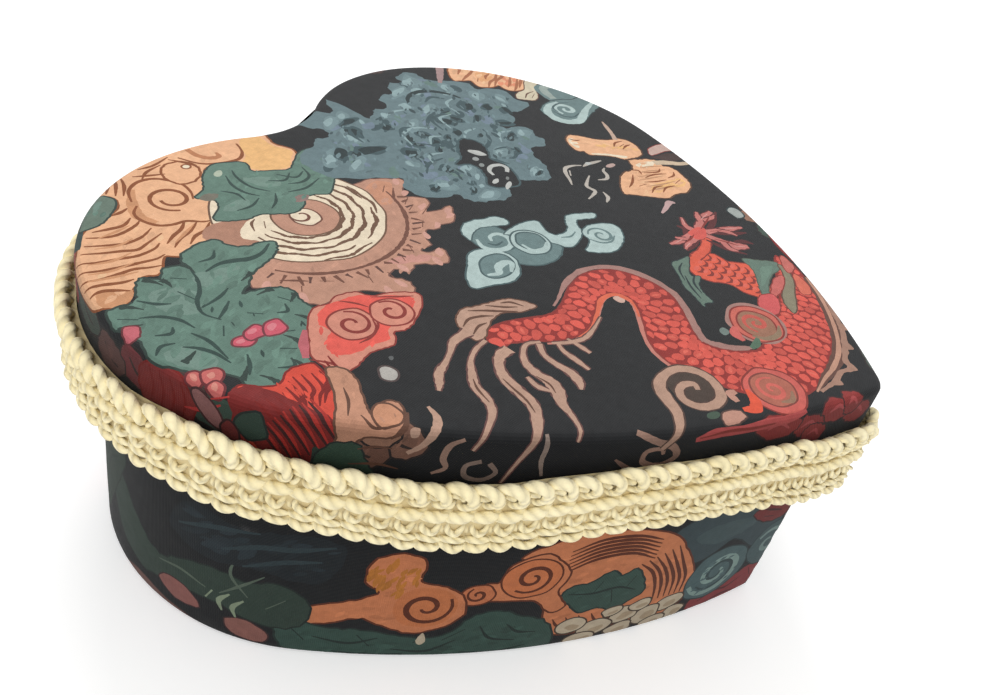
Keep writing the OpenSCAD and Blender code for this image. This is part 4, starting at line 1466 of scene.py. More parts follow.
def slate_mass(art):
    """The mottled slate cloud over the cleft and the right lobe."""
    art.blob([(-16, 60), (-21, 66), (-20, 76), (-14, 81), (-8, 81), (-3, 83.6), (2, 82), (5.4, 86),
              (2, 90), (1, 98), (12, 102), (16, 94), (20, 93), (26, 100), (26.6, 89), (25, 82), (30, 82),
              (33.4, 84.6), (38, 82), (42, 84.4), (43, 88), (48, 89.6), (52, 88), (55.4, 92), (60, 94),
              (64.6, 91), (66, 95), (72, 96.6), (77, 94), (76, 88), (78.6, 84), (84, 80), (88, 74),
              (86, 69), (92, 66), (94.6, 60), (90.6, 54), (93, 49), (86, 47.6), (80, 48.4), (76, 50),
              (74, 46), (68, 45), (63.4, 49), (62, 44), (68, 42), (70, 37.4), (66, 33.6), (66, 30),
              (60, 27), (56, 30), (50, 27), (45.4, 20), (38.6, 15), (33, 17), (28, 22), (22, 25),
              (17, 20), (12, 19), (8, 21), (3.4, 24), (1, 28), (1.4, 32), (-4, 34), (-8.4, 40), (-8, 46),
              (-3.6, 49.4), (-8, 54)], SLATE, None, 0.6, 0.5, 4)
    tones = (SLATE_COOL, SLATE_COOL, SLATE_GREEN, SLATE_LIT, SLATE_DEEP, SLATE_COOL)
    body = catmull([(-14, 62), (-16, 76), (0, 79), (10, 90), (24, 80), (48, 85), (72, 92), (82, 76),
                    (88, 62), (84, 52), (66, 50), (62, 36), (52, 30), (38, 20), (28, 26), (10, 24),
                    (4, 34), (-5, 42), (-4, 54)], True, 4)
    for number in range(150):
        x, y = art.random.uniform(-16, 90), art.random.uniform(18, 94)
        size = art.random.uniform(1.2, 3.8)
        slim = art.random.uniform(0.35, 0.8)
        turn = art.random.gauss(30, 22)
        if winding(body, np.array([(x, y)]))[0]:
            art.oval(x, y, size, size * slim, turn, tones[number % 6], rough=0.3, points=8)
    for x, y, a, b, turn in ((-10, 72, 6, 3, 35), (-7, 64, 6, 2.4, 20), (8, 76, 3, 6, -20),
                             (12, 88, 6, 2.6, 20), (20, 88, 4, 2.4, 30), (56, 87, 7, 2.8, 10),
                             (68, 90, 6, 4, 20), (76, 78, 5, 3, 40), (80, 66, 6, 3, 35),
                             (86, 58, 4, 2.4, 60), (10, 24, 5, 3, 0), (4, 38, 3, 4, 30),
                             (20, 38, 4, 3.4, 20), (42, 36, 5, 2.6, 20), (64, 38, 4, 3, 30),
                             (38, 20, 4, 2.2, 20), (52, 72, 6, 2, 20), (34, 68, 6, 1.8, 25),
                             (8, 53, 3, 2, 80)):
        art.oval(x, y, a, b, turn, srgb(130, 151, 154), rough=0.35, points=10)
        art.oval(x - 0.6, y + 0.5, a * 0.6, b * 0.5, turn, SLATE_LIT, rough=0.4, points=7)
    for x, y, a, b, turn in ((-5, 72, 4.4, 2.2, 30), (5, 67, 5, 2.6, -32), (-1, 69, 2.6, 1.4, 10),
                             (14, 56, 3.8, 2.6, 42), (24, 73, 2.6, 1.8, 10), (23.6, 63.4, 3, 1.4, 40),
                             (30.4, 62, 1.8, 3.2, 10), (29, 56, 2.4, 1.4, 20), (43, 55, 2.6, 1.5, 25),
                             (47.6, 62, 2.4, 2.8, 20), (48.4, 48, 2.2, 1.2, 10), (14, 43, 2.4, 2.2, 30),
                             (-1, 39, 2.2, 1.5, 0), (8, 29.4, 2.2, 1.0, 20), (54.6, 67.6, 3.2, 1.6, -20),
                             (66.6, 63, 3.6, 2.2, 30), (73, 58, 3.6, 2.0, 20), (77, 51.4, 3, 2, 60),
                             (53, 60.6, 2.0, 3.0, 10), (17, 84.4, 5, 1.6, -6), (12, 79, 2.4, 3.4, -20),
                             (66, 46.6, 3.4, 1.8, -30), (57, 40, 3.4, 1.6, 20), (48, 33, 2.6, 1.4, 40),
                             (38, 19.4, 2.2, 0.9, 10), (22, 59, 1.6, 2.6, 20), (36, 55, 2.0, 1.0, 30),
                             (25, 52, 2.4, 1.0, 30), (60, 56, 3, 1.2, 20)):
        art.oval(x, y, a * 1.2, b * 1.25, turn, SLATE_DEEP, rough=0.4, points=9)
        art.oval(x + 0.2, y - 0.2, a * 0.85, b * 0.8, turn + 8, SLATE_DARK, rough=0.45, points=8)
    art.strokes(SLATE_DARK, 2.4, [(49, 79), (54, 82.4), (61, 83), (67, 80), (71, 74), (71.6, 69)])
    art.strokes(SLATE_DEEP, 1.6, [(36, 63), (42, 66.6), (50, 68.6), (58, 66)],
                [(22, 66), (28, 69), (34, 66.6)], [(62, 60), (64, 66), (70, 68)],
                [(24, 58), (28, 53), (34, 51), (38, 53)], [(40, 59), (44, 66), (52, 66), (55, 60)],
                [(8, 72), (10, 78), (14, 82)], [(32, 44), (40, 42), (48, 44), (54, 50)],
                [(6, 46), (12, 49), (20, 48)], [(38, 34), (42, 31), (47, 33), (47, 37), (42, 39)],
                [(28, 40), (34, 36), (36, 30)], [(56, 76), (62, 77), (66, 72)])
    art.strokes(SLATE_LIT, 1.3, [(20, 60), (24, 66), (32, 67), (38, 62)], [(40, 50), (46, 53), (52, 52)],
                [(44, 58), (48, 65), (55, 64)], [(58, 62), (62, 70), (70, 71)],
                [(30, 78), (38, 79), (46, 76)], [(14, 48), (18, 52), (24, 50)],
                [(50, 40), (56, 44), (62, 42)], [(26, 56), (31, 59), (35, 57)])
    art.mottle(body[::4], SLATE, 420, 2.2, 32, 0.28, 0.35)
    art.mottle(body[::4], SLATE_DEEP, 90, 2.4, 35, 0.3, 0.4)
    art.blob([(20, 42.6), (26, 43.6), (31, 47.4), (38, 51), (41.4, 49), (42, 45), (39, 40.6), (34, 36.6),
              (34, 31), (30, 25), (24, 21), (17.6, 24), (16, 28), (21, 31.6), (24, 35.4), (24.4, 39.4)],
             GROUND, SLATE_DEEP, 0.8, 0.3)
    art.oval(34.2, 42, 1.8, 3.2, 18, WHITE)
    art.oval(29.4, 40, 1.5, 1.2, 30, srgb(168, 172, 170))
    art.oval(27, 36.4, 1.5, 0.9, 20, srgb(150, 156, 154))
    art.stroke([(23.6, 30), (25.4, 32.6), (29, 33.6), (32.4, 32), (32.4, 29.4), (29.6, 27.8)],
               (1.0, 1.7, 1.9, 1.4), WHITE)
    art.oval(20, 27.4, 2.2, 0.9, 10, WHITE)
    art.oval(21, 23, 3.2, 0.9, 12, WHITE)
    art.oval(25.4, 25.6, 1.2, 0.6, 20, srgb(130, 134, 132))


def right_edge(art):
    """Peach waves, a cream patch and a pale scroll on the right lobe, claws and twigs below them."""
    art.stroke([(78, 82), (84, 85.4), (91, 89.6), (99, 95)], (1.4, 2.8, 3.2, 2.0), srgb(178, 150, 148))
    art.blob([(86, 80), (91, 85), (97, 88.6), (106, 92), (116, 84), (124, 72), (124, 60), (114, 57.4),
              (104, 57), (97.4, 60), (98, 65.4), (94, 66.4), (89.4, 70), (92, 75), (89, 77.6)], PEACH,
             BROWN, 0.7)
    art.blob([(95, 72), (99, 77), (106, 78), (108, 73), (101, 70.6)], srgb(240, 184, 142), rough=0.3)
    art.mottle([(88, 80), (97, 87), (108, 88), (118, 76), (120, 64), (106, 59), (100, 60), (100, 66),
                (93, 70), (94, 76)], PEACH, 90, 2.8, 18, 0.17)
    art.mottle([(100, 60), (120, 62), (114, 74), (100, 68)], srgb(238, 160, 130), 40, 2.8, 18, 0.12)
    art.strokes(srgb(176, 116, 86), 1.4, [(88.6, 77.6), (94, 78.6), (100, 79.6), (108, 82)],
                [(92, 67), (98, 69.4), (104, 70), (112, 73.6)], [(95.6, 66), (102, 68.4), (108, 69),
                (116, 72)], [(99, 72), (102, 73.6), (106, 74)], [(100, 62), (105, 63.6), (112, 67)],
                [(99, 58.4), (105, 60.4), (113, 64)], [(93, 82), (98, 84), (104, 87)],
                [(93.6, 73), (97, 74.6)], [(104, 58.6), (110, 61), (118, 64)])
    art.blob([(92.6, 54), (97, 56.6), (104, 56.4), (112, 60), (120, 62), (122, 58), (110, 54), (104, 50),
              (98, 48.6), (95, 51)], srgb(228, 218, 194), TAN_LINE, 0.5)
    art.strokes(TAN_LINE, 0.8, [(96, 52), (101, 53.6), (106, 53)], [(99, 50.4), (104, 51.6)])
    art.blob([(104, 43), (108, 53), (114, 55), (122, 50), (122, 40), (112, 38)], CLOUD_MID, None, rough=0.4)
    art.stroke([(107, 44), (110, 49), (114, 52), (119, 50)], (3.0, 4.0, 3.6, 2.0), srgb(168, 180, 174))
    art.blob([(88, 36), (90, 42), (98, 44), (107, 42.6), (114, 38), (124, 36), (122, 28), (112, 27),
              (103, 26.4), (95, 25.6), (89.6, 29.6)], CLOUD_MID, SLATE_DARK, 0.5, 0.3)
    art.stroke([(105, 41.4), (98, 42.2), (91.4, 39.6), (88.8, 34.6), (90.6, 30), (95.6, 27.4),
                (102, 28.4), (109, 30), (118, 31)], (1.6, 3.0, 4.2, 4.0, 3.8, 3.0, 1.6), CLOUD)
    art.curl(101.4, 35.8, 5.4, -1.3, 190, (1.2, 2.2, 1.8, 1.0), CLOUD)
    art.strokes(CLOUD_LINE, 0.9, [(95, 39), (94, 34), (97, 30.6), (103, 30.6)],
                [(96, 37), (98, 40.4), (104, 40.6), (109, 38)])
    twig = srgb(202, 195, 186)
    art.strokes(twig, 1.5, [(40, 7.4), (43, 9.6), (46.4, 12.6), (50, 14.2), (54, 13), (57, 10.8)],
                [(56.6, 10), (60, 9.6), (64, 8.2), (67.4, 7)], [(35, -1), (39, -1), (42.6, -0.4),
                (43.4, 3), (47, 4.4), (52, 5.6)], [(38, -6.6), (42, -5.6), (44.4, -2.8)],
                [(51.6, 2), (55, 0), (58, 1), (60, 3.2), (62.6, 3.8)], [(46, 10.4), (49.4, 12.4)])
    art.oval(66.6, 2.8, 2.8, 1.1, -12, srgb(206, 180, 172))
    art.oval(60.6, 9.6, 1.6, 1.0, -20, WHITE)
    art.stroke([(46.6, -24.2), (52, -24), (57, -23.6), (58.4, -25.4)], (0.8, 1.8, 2.4, 1.0),
               srgb(206, 176, 174))
    art.blob([(67.6, 17), (71, 22), (75, 24.4), (79, 24.4), (82, 20), (84.6, 15), (88.6, 11.4),
              (92.4, 10), (94.4, 6), (93, 2), (88.4, -2), (84, -2.2), (80, -0.6), (76.6, 1), (75, 5),
              (71.6, 9), (68.6, 12), (69.4, 15)], PEACH, srgb(92, 62, 44), 0.7)
    art.blob([(70, 18.6), (72.4, 22.4), (76, 23.6), (76, 21), (71.4, 17.4)], CREAM, rough=0.1)
    art.blob([(70, 12), (74, 9), (78, 4), (80, 1), (77.4, 1.4), (74.4, 6.4), (70.4, 10.4)], CREAM,
             rough=0.1)
    art.stroke([(79, 14), (83, 9), (87, 4), (90, 0)], (2.0, 4.0, 3.0, 1.0), PEACH_LIT)
    art.mottle([(69, 17), (75, 23), (82, 17), (92, 8), (90, -1), (80, 1), (74, 9)], PEACH, 60, 2.4, -50,
               0.12)
    art.strokes(BROWN, 1.0, [(84, 8), (88, 9), (92, 7.6)], [(85, 4.6), (89, 4.8), (92, 4)],
                [(86, 6.4), (90, 6)], [(75, 23.6), (76, 21), (78, 20)])
    art.stroke([(91, 10), (95, 13), (99, 16.6), (103, 20.4)], (2.4, 1.8, 1.8, 0.8), srgb(206, 180, 164))
    art.blob([(50, -9), (55, -5.6), (60, -3.8), (66, -3.2), (70, -4.6), (74, -3.4), (77, -0.8), (81, -3),
              (85, -6), (86.6, -9), (84.4, -12), (86, -15), (84.4, -19), (81, -23), (77, -25.8),
              (71, -26), (66, -23.4), (60, -22), (56, -17.4), (53, -13)], PEACH, srgb(92, 62, 44), 0.7,
             0.3)
    art.blob([(60, -18), (68, -20), (76, -24), (80, -21), (72, -17), (64, -14)], PEACH_LIT, rough=0.3)
    art.blob([(76, -4), (82, -6), (85, -8.6), (80, -9), (75.4, -6.6)], CREAM, rough=0.2)
    art.mottle([(52, -9), (62, -5), (76, -3), (85, -10), (82, -21), (72, -25), (60, -21)], PEACH, 110,
               2.2, -20, 0.16)
    art.strokes(srgb(206, 160, 128), 0.9, [(64, -9), (70, -12), (76, -15)],
                [(67, -8), (72, -11), (78, -14)], [(70, -7), (76, -10), (82, -14)],
                [(62, -13), (69, -17), (76, -20)], [(60, -15), (66, -18), (73, -22)],
                [(75, -6), (80, -9), (84, -12)])
    art.strokes(BROWN, 1.0, [(56, -8.6), (61, -8), (67, -6)], [(65, -11.4), (69, -14.4), (74, -17)],
                [(68.6, -10.4), (74, -12), (79, -15.4)], [(72, -8.6), (77.6, -12.4), (81, -12)],
                [(59, -16.4), (64, -15.8), (68, -17.6)], [(63, -19.4), (67.6, -19), (72, -21)],
                [(70, -4.4), (72, -6.4), (70, -8.6)], [(76, -17), (80, -18), (83, -17)],
                [(60, -11), (64, -12.4)], [(74, -20.6), (79, -21)])
    art.stroke([(84, -8.6), (88.6, -12), (92.6, -16.4), (96.4, -18.8)], (3.4, 3.2, 2.8, 2.2),
               srgb(220, 200, 176))
    art.blob([(90, -5.4), (94.4, -2.8), (100, -3.6), (106, -6), (112, -10), (106, -12), (99, -8.4),
              (94, -7)], srgb(212, 184, 174), MAROON, 0.4)
    art.blob([(88, -6), (92, -7.6), (98, -10), (102, -14), (97, -15.6), (91, -12)], srgb(66, 46, 42),
             rough=0.3)
    art.oval(70, -45, 3.6, 2.6, 40, srgb(178, 184, 180), SLATE_DARK)


def ruyi_cloud(art):
    """The pale scrolled cloud in the middle."""
    art.blob([(-21, 1), (-18, -5), (-12, -8), (-5, -8), (0, -4.6), (2, 2), (-4, 9), (-14, 8)], CLOUD_MID,
             CLOUD_LINE, 0.6)
    art.blob([(-42.4, 3), (-38.6, 7), (-33.4, 9.4), (-28, 12), (-23, 11), (-19.6, 7), (-19, 2.4),
              (-21.6, -1), (-27, -3.8), (-32, -3.4), (-36.4, -0.6)], CLOUD, CLOUD_LINE, 0.6)
    art.oval(-27.2, 3.2, 6.8, 4.6, 8, CLOUD_MID, CLOUD_LINE, 0.05, 14)
    art.stroke([(-33.6, 3), (-30.4, 1), (-27.4, 2.6), (-23.6, 2.2), (-23, 0.4), (-27, -1.4)],
               (0.8, 2.2, 2.6, 2.2, 0.8), CLOUD)
    art.oval(-14.4, 11.4, 6.8, 7.4, 0, CLOUD_MID, CLOUD_LINE, 0.05, 14)
    art.blob([(-20.4, 15.6), (-18.4, 19.4), (-14, 21.4), (-9.6, 20.6), (-6, 18.4), (-2.4, 17), (-1, 13.4),
              (-3.4, 11.6), (-7.4, 14.4), (-12, 17), (-16.6, 17)], CLOUD, CLOUD_LINE, 0.5)
    art.stroke([(-18.6, 14.4), (-21, 11), (-19.8, 7.6), (-16.4, 5.4), (-12.6, 5.6), (-10.2, 8.4),
                (-11, 11.4), (-14, 12.2), (-16, 10.6)], (0.9, 2.0, 2.0, 1.8, 1.7, 1.4, 0.8), CLOUD)
    art.stroke([(-18, 11), (-17, 8.6), (-13.6, 8)], (0.5, 0.9, 0.5), CLOUD_LINE)
    art.blob([(-9.4, 9.6), (-4, 9.4), (1, 8.4), (6, 5.6), (3.4, 2), (2.4, -1.8), (5.6, -4), (10, -3.8),
              (13, -1.8), (17.4, -0.2), (22, -2.6), (26.6, -6.2), (24, -7.6), (20.4, -5.4), (17.4, -3.6),
              (14.6, -5), (11.4, -8), (6, -9.4), (0, -9), (-2, -4), (-3, 2), (-5.4, 6)], CLOUD,
             CLOUD_LINE, 0.5)
    art.oval(-7.2, 1.6, 6.6, 6.2, 0, CLOUD, CLOUD_LINE, 0.04, 14)
    art.oval(-6.6, 1.8, 4.8, 4.6, 0, CLOUD_MID, CLOUD_LINE, 0.05, 12)
    art.stroke([(-10.6, 3), (-11, -1), (-7.4, -3), (-3.4, -2)], (0.8, 1.4, 1.2, 0.5), CLOUD)
    art.blob([(2, -13.6), (6.4, -12.8), (9.4, -11.4), (11, -8.6), (16, -7.8), (20.4, -9.6), (24.4, -13.8),
              (22.6, -17.6), (16.6, -20.4), (9.6, -20.6), (5, -17.8)], CLOUD, CLOUD_LINE, 0.5)
    art.curl(14.8, -13.6, 4.6, -1.4, 130, (0.6, 1.2, 1.0, 0.6), CLOUD_MID, 0.2)
    art.stroke([(9.4, -11.6), (10.4, -15.4), (13.8, -17.6), (18, -17)], (0.5, 1.0, 0.5), CLOUD_MID)
    art.stroke([(3, -4.4), (6, -6.4), (10, -6.4)], (0.4, 0.8, 0.4), CLOUD_MID)


# The dragon's body from neck to tail: x, y and half width.
BODY = ((-61, -13.5, 2.0), (-56, -13, 3.8), (-50, -16.4, 4.6), (-43.6, -22, 5.4), (-37, -24.4, 5.1),
        (-29, -23.6, 4.6), (-21, -22, 4.5), (-13.4, -23, 5.3), (-8, -27, 6.4), (-6.6, -33, 6.8),
        (-8, -38.6, 7.0), (-13, -43.4, 6.8), (-20, -48, 7.2), (-26, -53, 8.2), (-27.6, -60, 8.6),
        (-26, -67, 8.8), (-22.6, -74, 9.6), (-16, -80, 9.6), (-8, -81.8, 9.0), (2, -82, 8.7),
        (12, -81.6, 8.5), (20, -80, 8.0), (28, -77.6, 7.2), (36, -74, 6.0), (44, -69.6, 4.2),
        (50, -66, 2.0))


def body_line(shift):
    """The dragon's left edge moved out by shift, or its right edge where shift is negative."""
    line = catmull(BODY, per=4)
    along = np.gradient(line[:, :2], axis=0)
    out = np.column_stack((-along[:, 1], along[:, 0])) / np.hypot(*along.T)[:, None]
    return line[:, :2] + out * (math.copysign(1, shift) * line[:, 2:3] + shift)


def dragon(art):
    """The scaled dragon: body, leg and claws, mane, streamers, scrolls and green flames."""
    back = body_line(1.5)
    art.stroke(back[18:72:2], (0.6, 1.8, 2.4, 2.6, 2.6, 2.4, 2.8, 2.2, 0.8), HALO, 0.25, 2)
    art.stroke(body_line(-1.1)[10:60:2], (0.6, 1.5, 1.3, 1.5, 0.8), srgb(206, 140, 128), 0.25, 2)
    art.oval(-16.4, -31.4, 1.4, 1.8, 0, srgb(224, 190, 176))
    side = np.array(BODY)
    art.stroke(side[:, :2], 2 * side[:, 2] + 0.9, MAROON, 0.02, 5)
    art.stroke(side[:, :2], 2 * side[:, 2], BODY_GAP, 0.02, 5)
    art.stroke(body_line(-0.9)[14:48:2], (0.8, 1.8, 1.8, 0.8), srgb(228, 122, 98), 0.2, 2)
    art.scales(BODY, 3.25, 3.9, SCALE_RED, SCALE_LIT)
    art.blob([(-62, -5), (-60, -2), (-57, 0), (-53, 0.2), (-50, -1.6), (-46, -3.6), (-41.4, -5.8),
              (-38.6, -9), (-37.4, -14), (-40, -13.4), (-43, -12), (-47, -8.4), (-51, -7.6), (-56, -8.4),
              (-60, -9.8), (-62.6, -8.6)], STREAMER, TAN_LINE, 0.5)
    art.strokes(TAN_LINE, 0.9, [(-60, -3.4), (-56, -3), (-52.4, -5), (-50, -7.4)],
                [(-53, -1), (-49.6, -4.4), (-46.6, -8), (-43.4, -11.4)],
                [(-47.4, -3.4), (-44.4, -7.6), (-41.6, -10.4)], [(-43.4, -6), (-41, -8), (-40, -11.6)],
                [(-61, -7), (-57, -6.4), (-54, -7.4)])
    lines = (([(-86.4, -11.2), (-84, -10), (-80.6, -8), (-76, -7.2), (-71.4, -6), (-67, -4.6),
               (-61, -5.4)], (0.8, 1.8, 2.2, 1.4, 1.2, 2.2, 3.0)),
             ([(-97, -27.6), (-90, -26.2), (-84.4, -24.4), (-81.2, -21), (-79, -17), (-75, -14),
               (-71, -11.6), (-66, -10.4), (-61, -10.6)], (0.6, 1.4, 2.0, 2.4, 2.3, 1.9, 1.3, 1.1, 1.3)),
             ([(-100, -40.8), (-93, -38.8), (-86.4, -37), (-80, -34), (-76, -31), (-74, -27),
               (-71.6, -21.6), (-68, -18), (-64, -16.4), (-60, -17)],
              (0.6, 0.9, 1.6, 2.6, 3.2, 3.4, 3.0, 2.4, 2.8, 3.4)),
             ([(-79.4, -45), (-76, -43.4), (-73, -40), (-70.6, -36.4), (-67, -33.6), (-65, -30.6),
               (-64.4, -27), (-62.6, -23), (-59, -20.4), (-55, -19.6), (-51.6, -22)],
              (0.5, 1.0, 1.4, 2.4, 3.8, 3.4, 2.6, 2.0, 1.4, 1.2, 0.8)),
             ([(-68.2, -32.6), (-68.8, -29), (-67.2, -25.4)], (0.8, 1.6, 0.8)),
             ([(-62.4, -38.2), (-60, -36.6), (-58, -33.4), (-57.4, -29), (-56, -25), (-52.6, -22)],
              (0.8, 2.4, 2.6, 1.8, 1.5, 1.8)), ([(-53.6, -36.8), (-52.2, -32.4), (-51, -28.4),
                    (-48.6, -25.4)], (0.9, 1.7, 1.2, 0.9)), ([(-46.8, -34.4), (-46, -31), (-45.4, -27)],
                (1.2, 1.4, 0.8)), ([(-50, -24.6), (-46.6, -28), (-42, -30.6), (-36.4, -31), (-29, -30.4)],
                                   (0.9, 1.3, 1.4, 1.0, 0.4)),)
    for points, widths in lines:
        art.stroke(points, np.array(widths) + 0.8, srgb(104, 70, 66), 0.12)
    for points, widths in lines:
        art.stroke(points, widths, STREAMER, 0.15)
    art.strokes(TAN_LINE, 0.7, [(-78, -32.6), (-75.4, -29), (-73.6, -24.6), (-72, -21)],
                [(-82, -22.4), (-79.6, -18), (-77, -15.4)], [(-68, -33.6), (-66, -31), (-65.4, -27)])
    art.blob([(15, -46), (15.6, -50.6), (19, -56), (18, -62), (20, -67), (26, -68), (31, -63),
              (36.4, -58), (32.6, -52), (33.4, -47), (30.4, -43), (24, -41), (18, -42.8)],
             srgb(232, 112, 92), MAROON, 0.6)
    for number in range(7):
        y = -45.6 - number * 3.1
        x = 17.4 + number * 0.5
        for part in range(3):
            left = x + part * 4.8
            art.stroke([(left, y), (left + 1.6, y - 1.2), (left + 3.4, y - 0.9), (left + 4.6, y + 0.6)],
                       (0.5, 1.1, 0.9, 0.4), MAROON, 0.2, 3)
            art.oval(left + 2.4, y + 0.9, 1.5, 0.7, 0, SCALE_LIT, rough=0.3, points=6)
    art.stroke([(26, -42.4), (33, -43.4), (39, -42.6), (44, -40.6)], (4.2, 4.2, 4.0, 5.0), MAROON)
    art.stroke([(26, -42.4), (33, -43.4), (39, -42.6), (44, -40.6)], (3.2, 3.2, 3.0, 4.0),
               srgb(226, 110, 92))
    toe = srgb(206, 132, 126)
    shade = srgb(92, 38, 40)
    art.strokes(shade, 2.4, [(28, -39), (34, -39.6), (40, -40)], [(46, -40), (54, -40.6), (64, -39)],
                [(47, -42), (53, -48), (58, -52)], [(41, -42), (41, -49), (43, -56)],
                [(48, -50), (51, -53), (52, -56)], [(38, -35), (42, -34), (42, -31)])
    for points, widths in (([(43, -38.6), (37, -36.4), (32, -35.2), (27.6, -33.2)], (4.6, 2.6, 2.4, 1.0)),
                           ([(42, -39), (37, -38.6), (32, -38), (28.6, -38.4)], (4.0, 2.2, 1.8, 0.7)),
                           ([(36, -36.6), (34, -34.4), (33.6, -33)], (1.6, 1.4, 0.6)),
                           ([(44, -38.4), (50, -37), (56, -36.8), (62.6, -37.6)], (4.0, 2.6, 3.2, 1.6)),
                           ([(52, -37), (55, -35), (58, -33.4)], (2.0, 2.2, 0.8)),
                           ([(54, -37.4), (58, -39), (61, -39.2)], (1.8, 1.6, 0.6)),
                           ([(45, -39.6), (50, -42.6), (55, -46), (60.6, -49.8)], (3.6, 2.0, 2.8, 0.8)),
                           ([(51, -43), (53, -47), (53, -50)], (1.6, 1.8, 0.6)),
                           ([(44, -40.6), (44.6, -46), (44.8, -50.4), (48.6, -55)], (2.6, 2.6, 4.6, 2.2)),
                           ([(44.4, -47), (42, -50), (42.6, -53)], (2.0, 2.2, 0.8)),
                           ([(44, -37.4), (44.6, -33.6), (49.4, -30.4)], (2.6, 2.0, 0.9))):
        art.stroke(points, np.array(widths) + 1.0, shade, 0.1)
        art.stroke(points, widths, toe, 0.2)
    art.oval(42.8, -38.6, 4.8, 2.9, -8, srgb(222, 108, 100), rough=0.2)
    art.strokes(srgb(228, 178, 172), 0.8, [(30, -34.4), (34, -35.4)], [(54, -36.4), (60, -37)],
                [(54, -45), (58.6, -48.4)], [(45, -51), (47.6, -54)], [(45.6, -33), (48.6, -31)],
                [(30, -38), (34, -38.2)])
    art.strokes(MAROON, 0.8, [(33, -37), (37, -37.6), (41, -37.6)],
                [(47, -38.4), (53, -38.4), (58, -38.2)], [(44, -44), (45.4, -48), (46.4, -52)],
                [(48, -41.4), (52, -44.4)])
    art.blob([(-0.6, -53), (3, -48.4), (6, -44.6), (11, -41.2), (16, -37.4), (19, -38.4), (24.6, -40.4),
              (20, -42), (15.4, -43.4), (13.4, -45), (15.4, -47), (10, -48.2), (6.4, -51), (4, -54.4),
              (1.6, -52.6)], FLAME, SLATE_DARK, 0.4)
    art.strokes(SLATE_DARK, 0.8, [(3, -51), (7, -46.6), (12, -43)],
                [(6, -50.4), (10, -46.6), (15, -45.4)], [(9, -44), (14, -40.6), (19, -40)])
    art.blob([(21, -66.6), (27, -63.6), (32, -61.6), (36, -58.6), (38.4, -55.4), (42, -60), (45.4, -65.4),
              (42, -67.4), (36, -66), (29, -66.4), (24, -67.6)], FLAME, srgb(84, 92, 80), 0.4)
    art.blob([(26, -65), (32, -63.4), (38, -62), (42, -65), (35, -65.4)], srgb(122, 146, 132), rough=0.2)
    art.blob([(18, -77), (21.6, -73.4), (29, -71.2), (37.4, -70.4), (44.6, -66.4), (43.6, -69.4),
              (38, -73), (30, -74.8), (22.6, -76.8)], srgb(146, 140, 120), srgb(100, 76, 64), 0.5)
    art.blob([(22, -69.4), (28, -67.8), (34, -67.4), (38.6, -69), (34, -70.6), (27, -70.8)],
             srgb(208, 118, 112), MAROON, 0.4)
    art.blob([(10, -70), (15, -66.4), (20, -66), (24, -69), (20, -72), (14, -73)], srgb(214, 104, 104),
             MAROON, 0.4)
    art.oval(2.8, -68.2, 10.2, 9.4, 0, HALO, None, 0.04, 14)
    art.oval(2.8, -68.4, 8.8, 8.0, 0, srgb(212, 118, 106), MAROON, 0.04, 14)
    art.oval(2.6, -68.6, 6.4, 5.8, 0, srgb(168, 124, 104), MAROON, 0.05, 12)
    art.curl(3, -68.4, 4.6, -1.4, 200, (0.7, 1.7, 1.5, 0.7), srgb(206, 104, 94))
    art.stroke([(-4.6, -69), (-2.8, -73), (2, -75.4), (7, -74.4)], (0.7, 1.8, 1.8, 0.6),
               srgb(156, 134, 112))
    art.stroke([(-9, -67.6), (-7.4, -64.6), (-4, -63.4)], (1.6, 3.4, 1.4), srgb(214, 116, 110))
    art.stroke([(-11, -70.2), (-8, -71), (-4.6, -70.6)], (1.2, 2.6, 1.2), srgb(98, 124, 104))
    art.oval(-8.8, -61.6, 1.9, 1.4, 0, srgb(126, 140, 134))
    art.oval(-26, -80.4, 9.4, 8.6, 0, srgb(214, 112, 104), MAROON, 0.04, 14)
    art.oval(-26, -80, 6.8, 6.2, 0, srgb(186, 116, 100), srgb(132, 70, 62), 0.05, 12)
    art.curl(-26, -79.8, 5.0, 1.5, 20, (0.6, 1.5, 1.3, 0.6), srgb(220, 118, 108))
    art.stroke([(-30, -83), (-27, -85.4), (-23, -84.4)], (0.6, 1.7, 0.6), srgb(160, 126, 106))
    art.stroke([(-40.6, -75), (-38, -77.6), (-34.6, -76.8), (-31.4, -73.6)], (1.4, 3.4, 3.2, 1.2),
               srgb(232, 104, 82))
    stem = [(-66, -64.8), (-60, -63.6), (-54, -61), (-50.4, -57), (-47, -54), (-42, -53.4),
            (-36.4, -55.4), (-33.4, -60), (-34.4, -65), (-39, -68.6), (-44, -68.2), (-47.6, -65),
            (-47.8, -61), (-45, -58.8), (-41.6, -59), (-39.4, -61.2), (-41, -62.8)]
    wide = np.array((1.4, 2.0, 3.0, 3.8, 3.4, 2.6, 2.6, 2.8, 2.8, 2.8, 2.8, 2.6, 2.4, 2.2, 2.2, 2.0, 1.4))
    art.oval(-40.6, -61.4, 7.4, 7.2, 0, DUSK, None, 0.03, 12)
    art.stroke(stem, wide + 0.9, srgb(84, 62, 54), 0.05)
    art.stroke(stem, wide, srgb(196, 162, 144), 0.08)
    art.blob([(-49.4, -72.4), (-45.4, -71), (-42, -74), (-43, -76.4), (-47, -75)], srgb(204, 158, 142),
             srgb(84, 60, 54), 0.5)
    art.stroke([(-38.4, -73), (-36.6, -70.4), (-34.4, -71.4)], (1.8, 2.4, 1.6), srgb(204, 158, 142))
    art.oval(-48.4, -69, 2.2, 1.2, -20, srgb(74, 92, 78))
    art.stroke([(-58, -69.6), (-53, -72.4), (-46.4, -78), (-40, -82.6), (-34, -87), (-28, -89.8)],
               (1.6, 3.0, 2.6, 3.2, 2.6, 1.0), srgb(190, 92, 90))
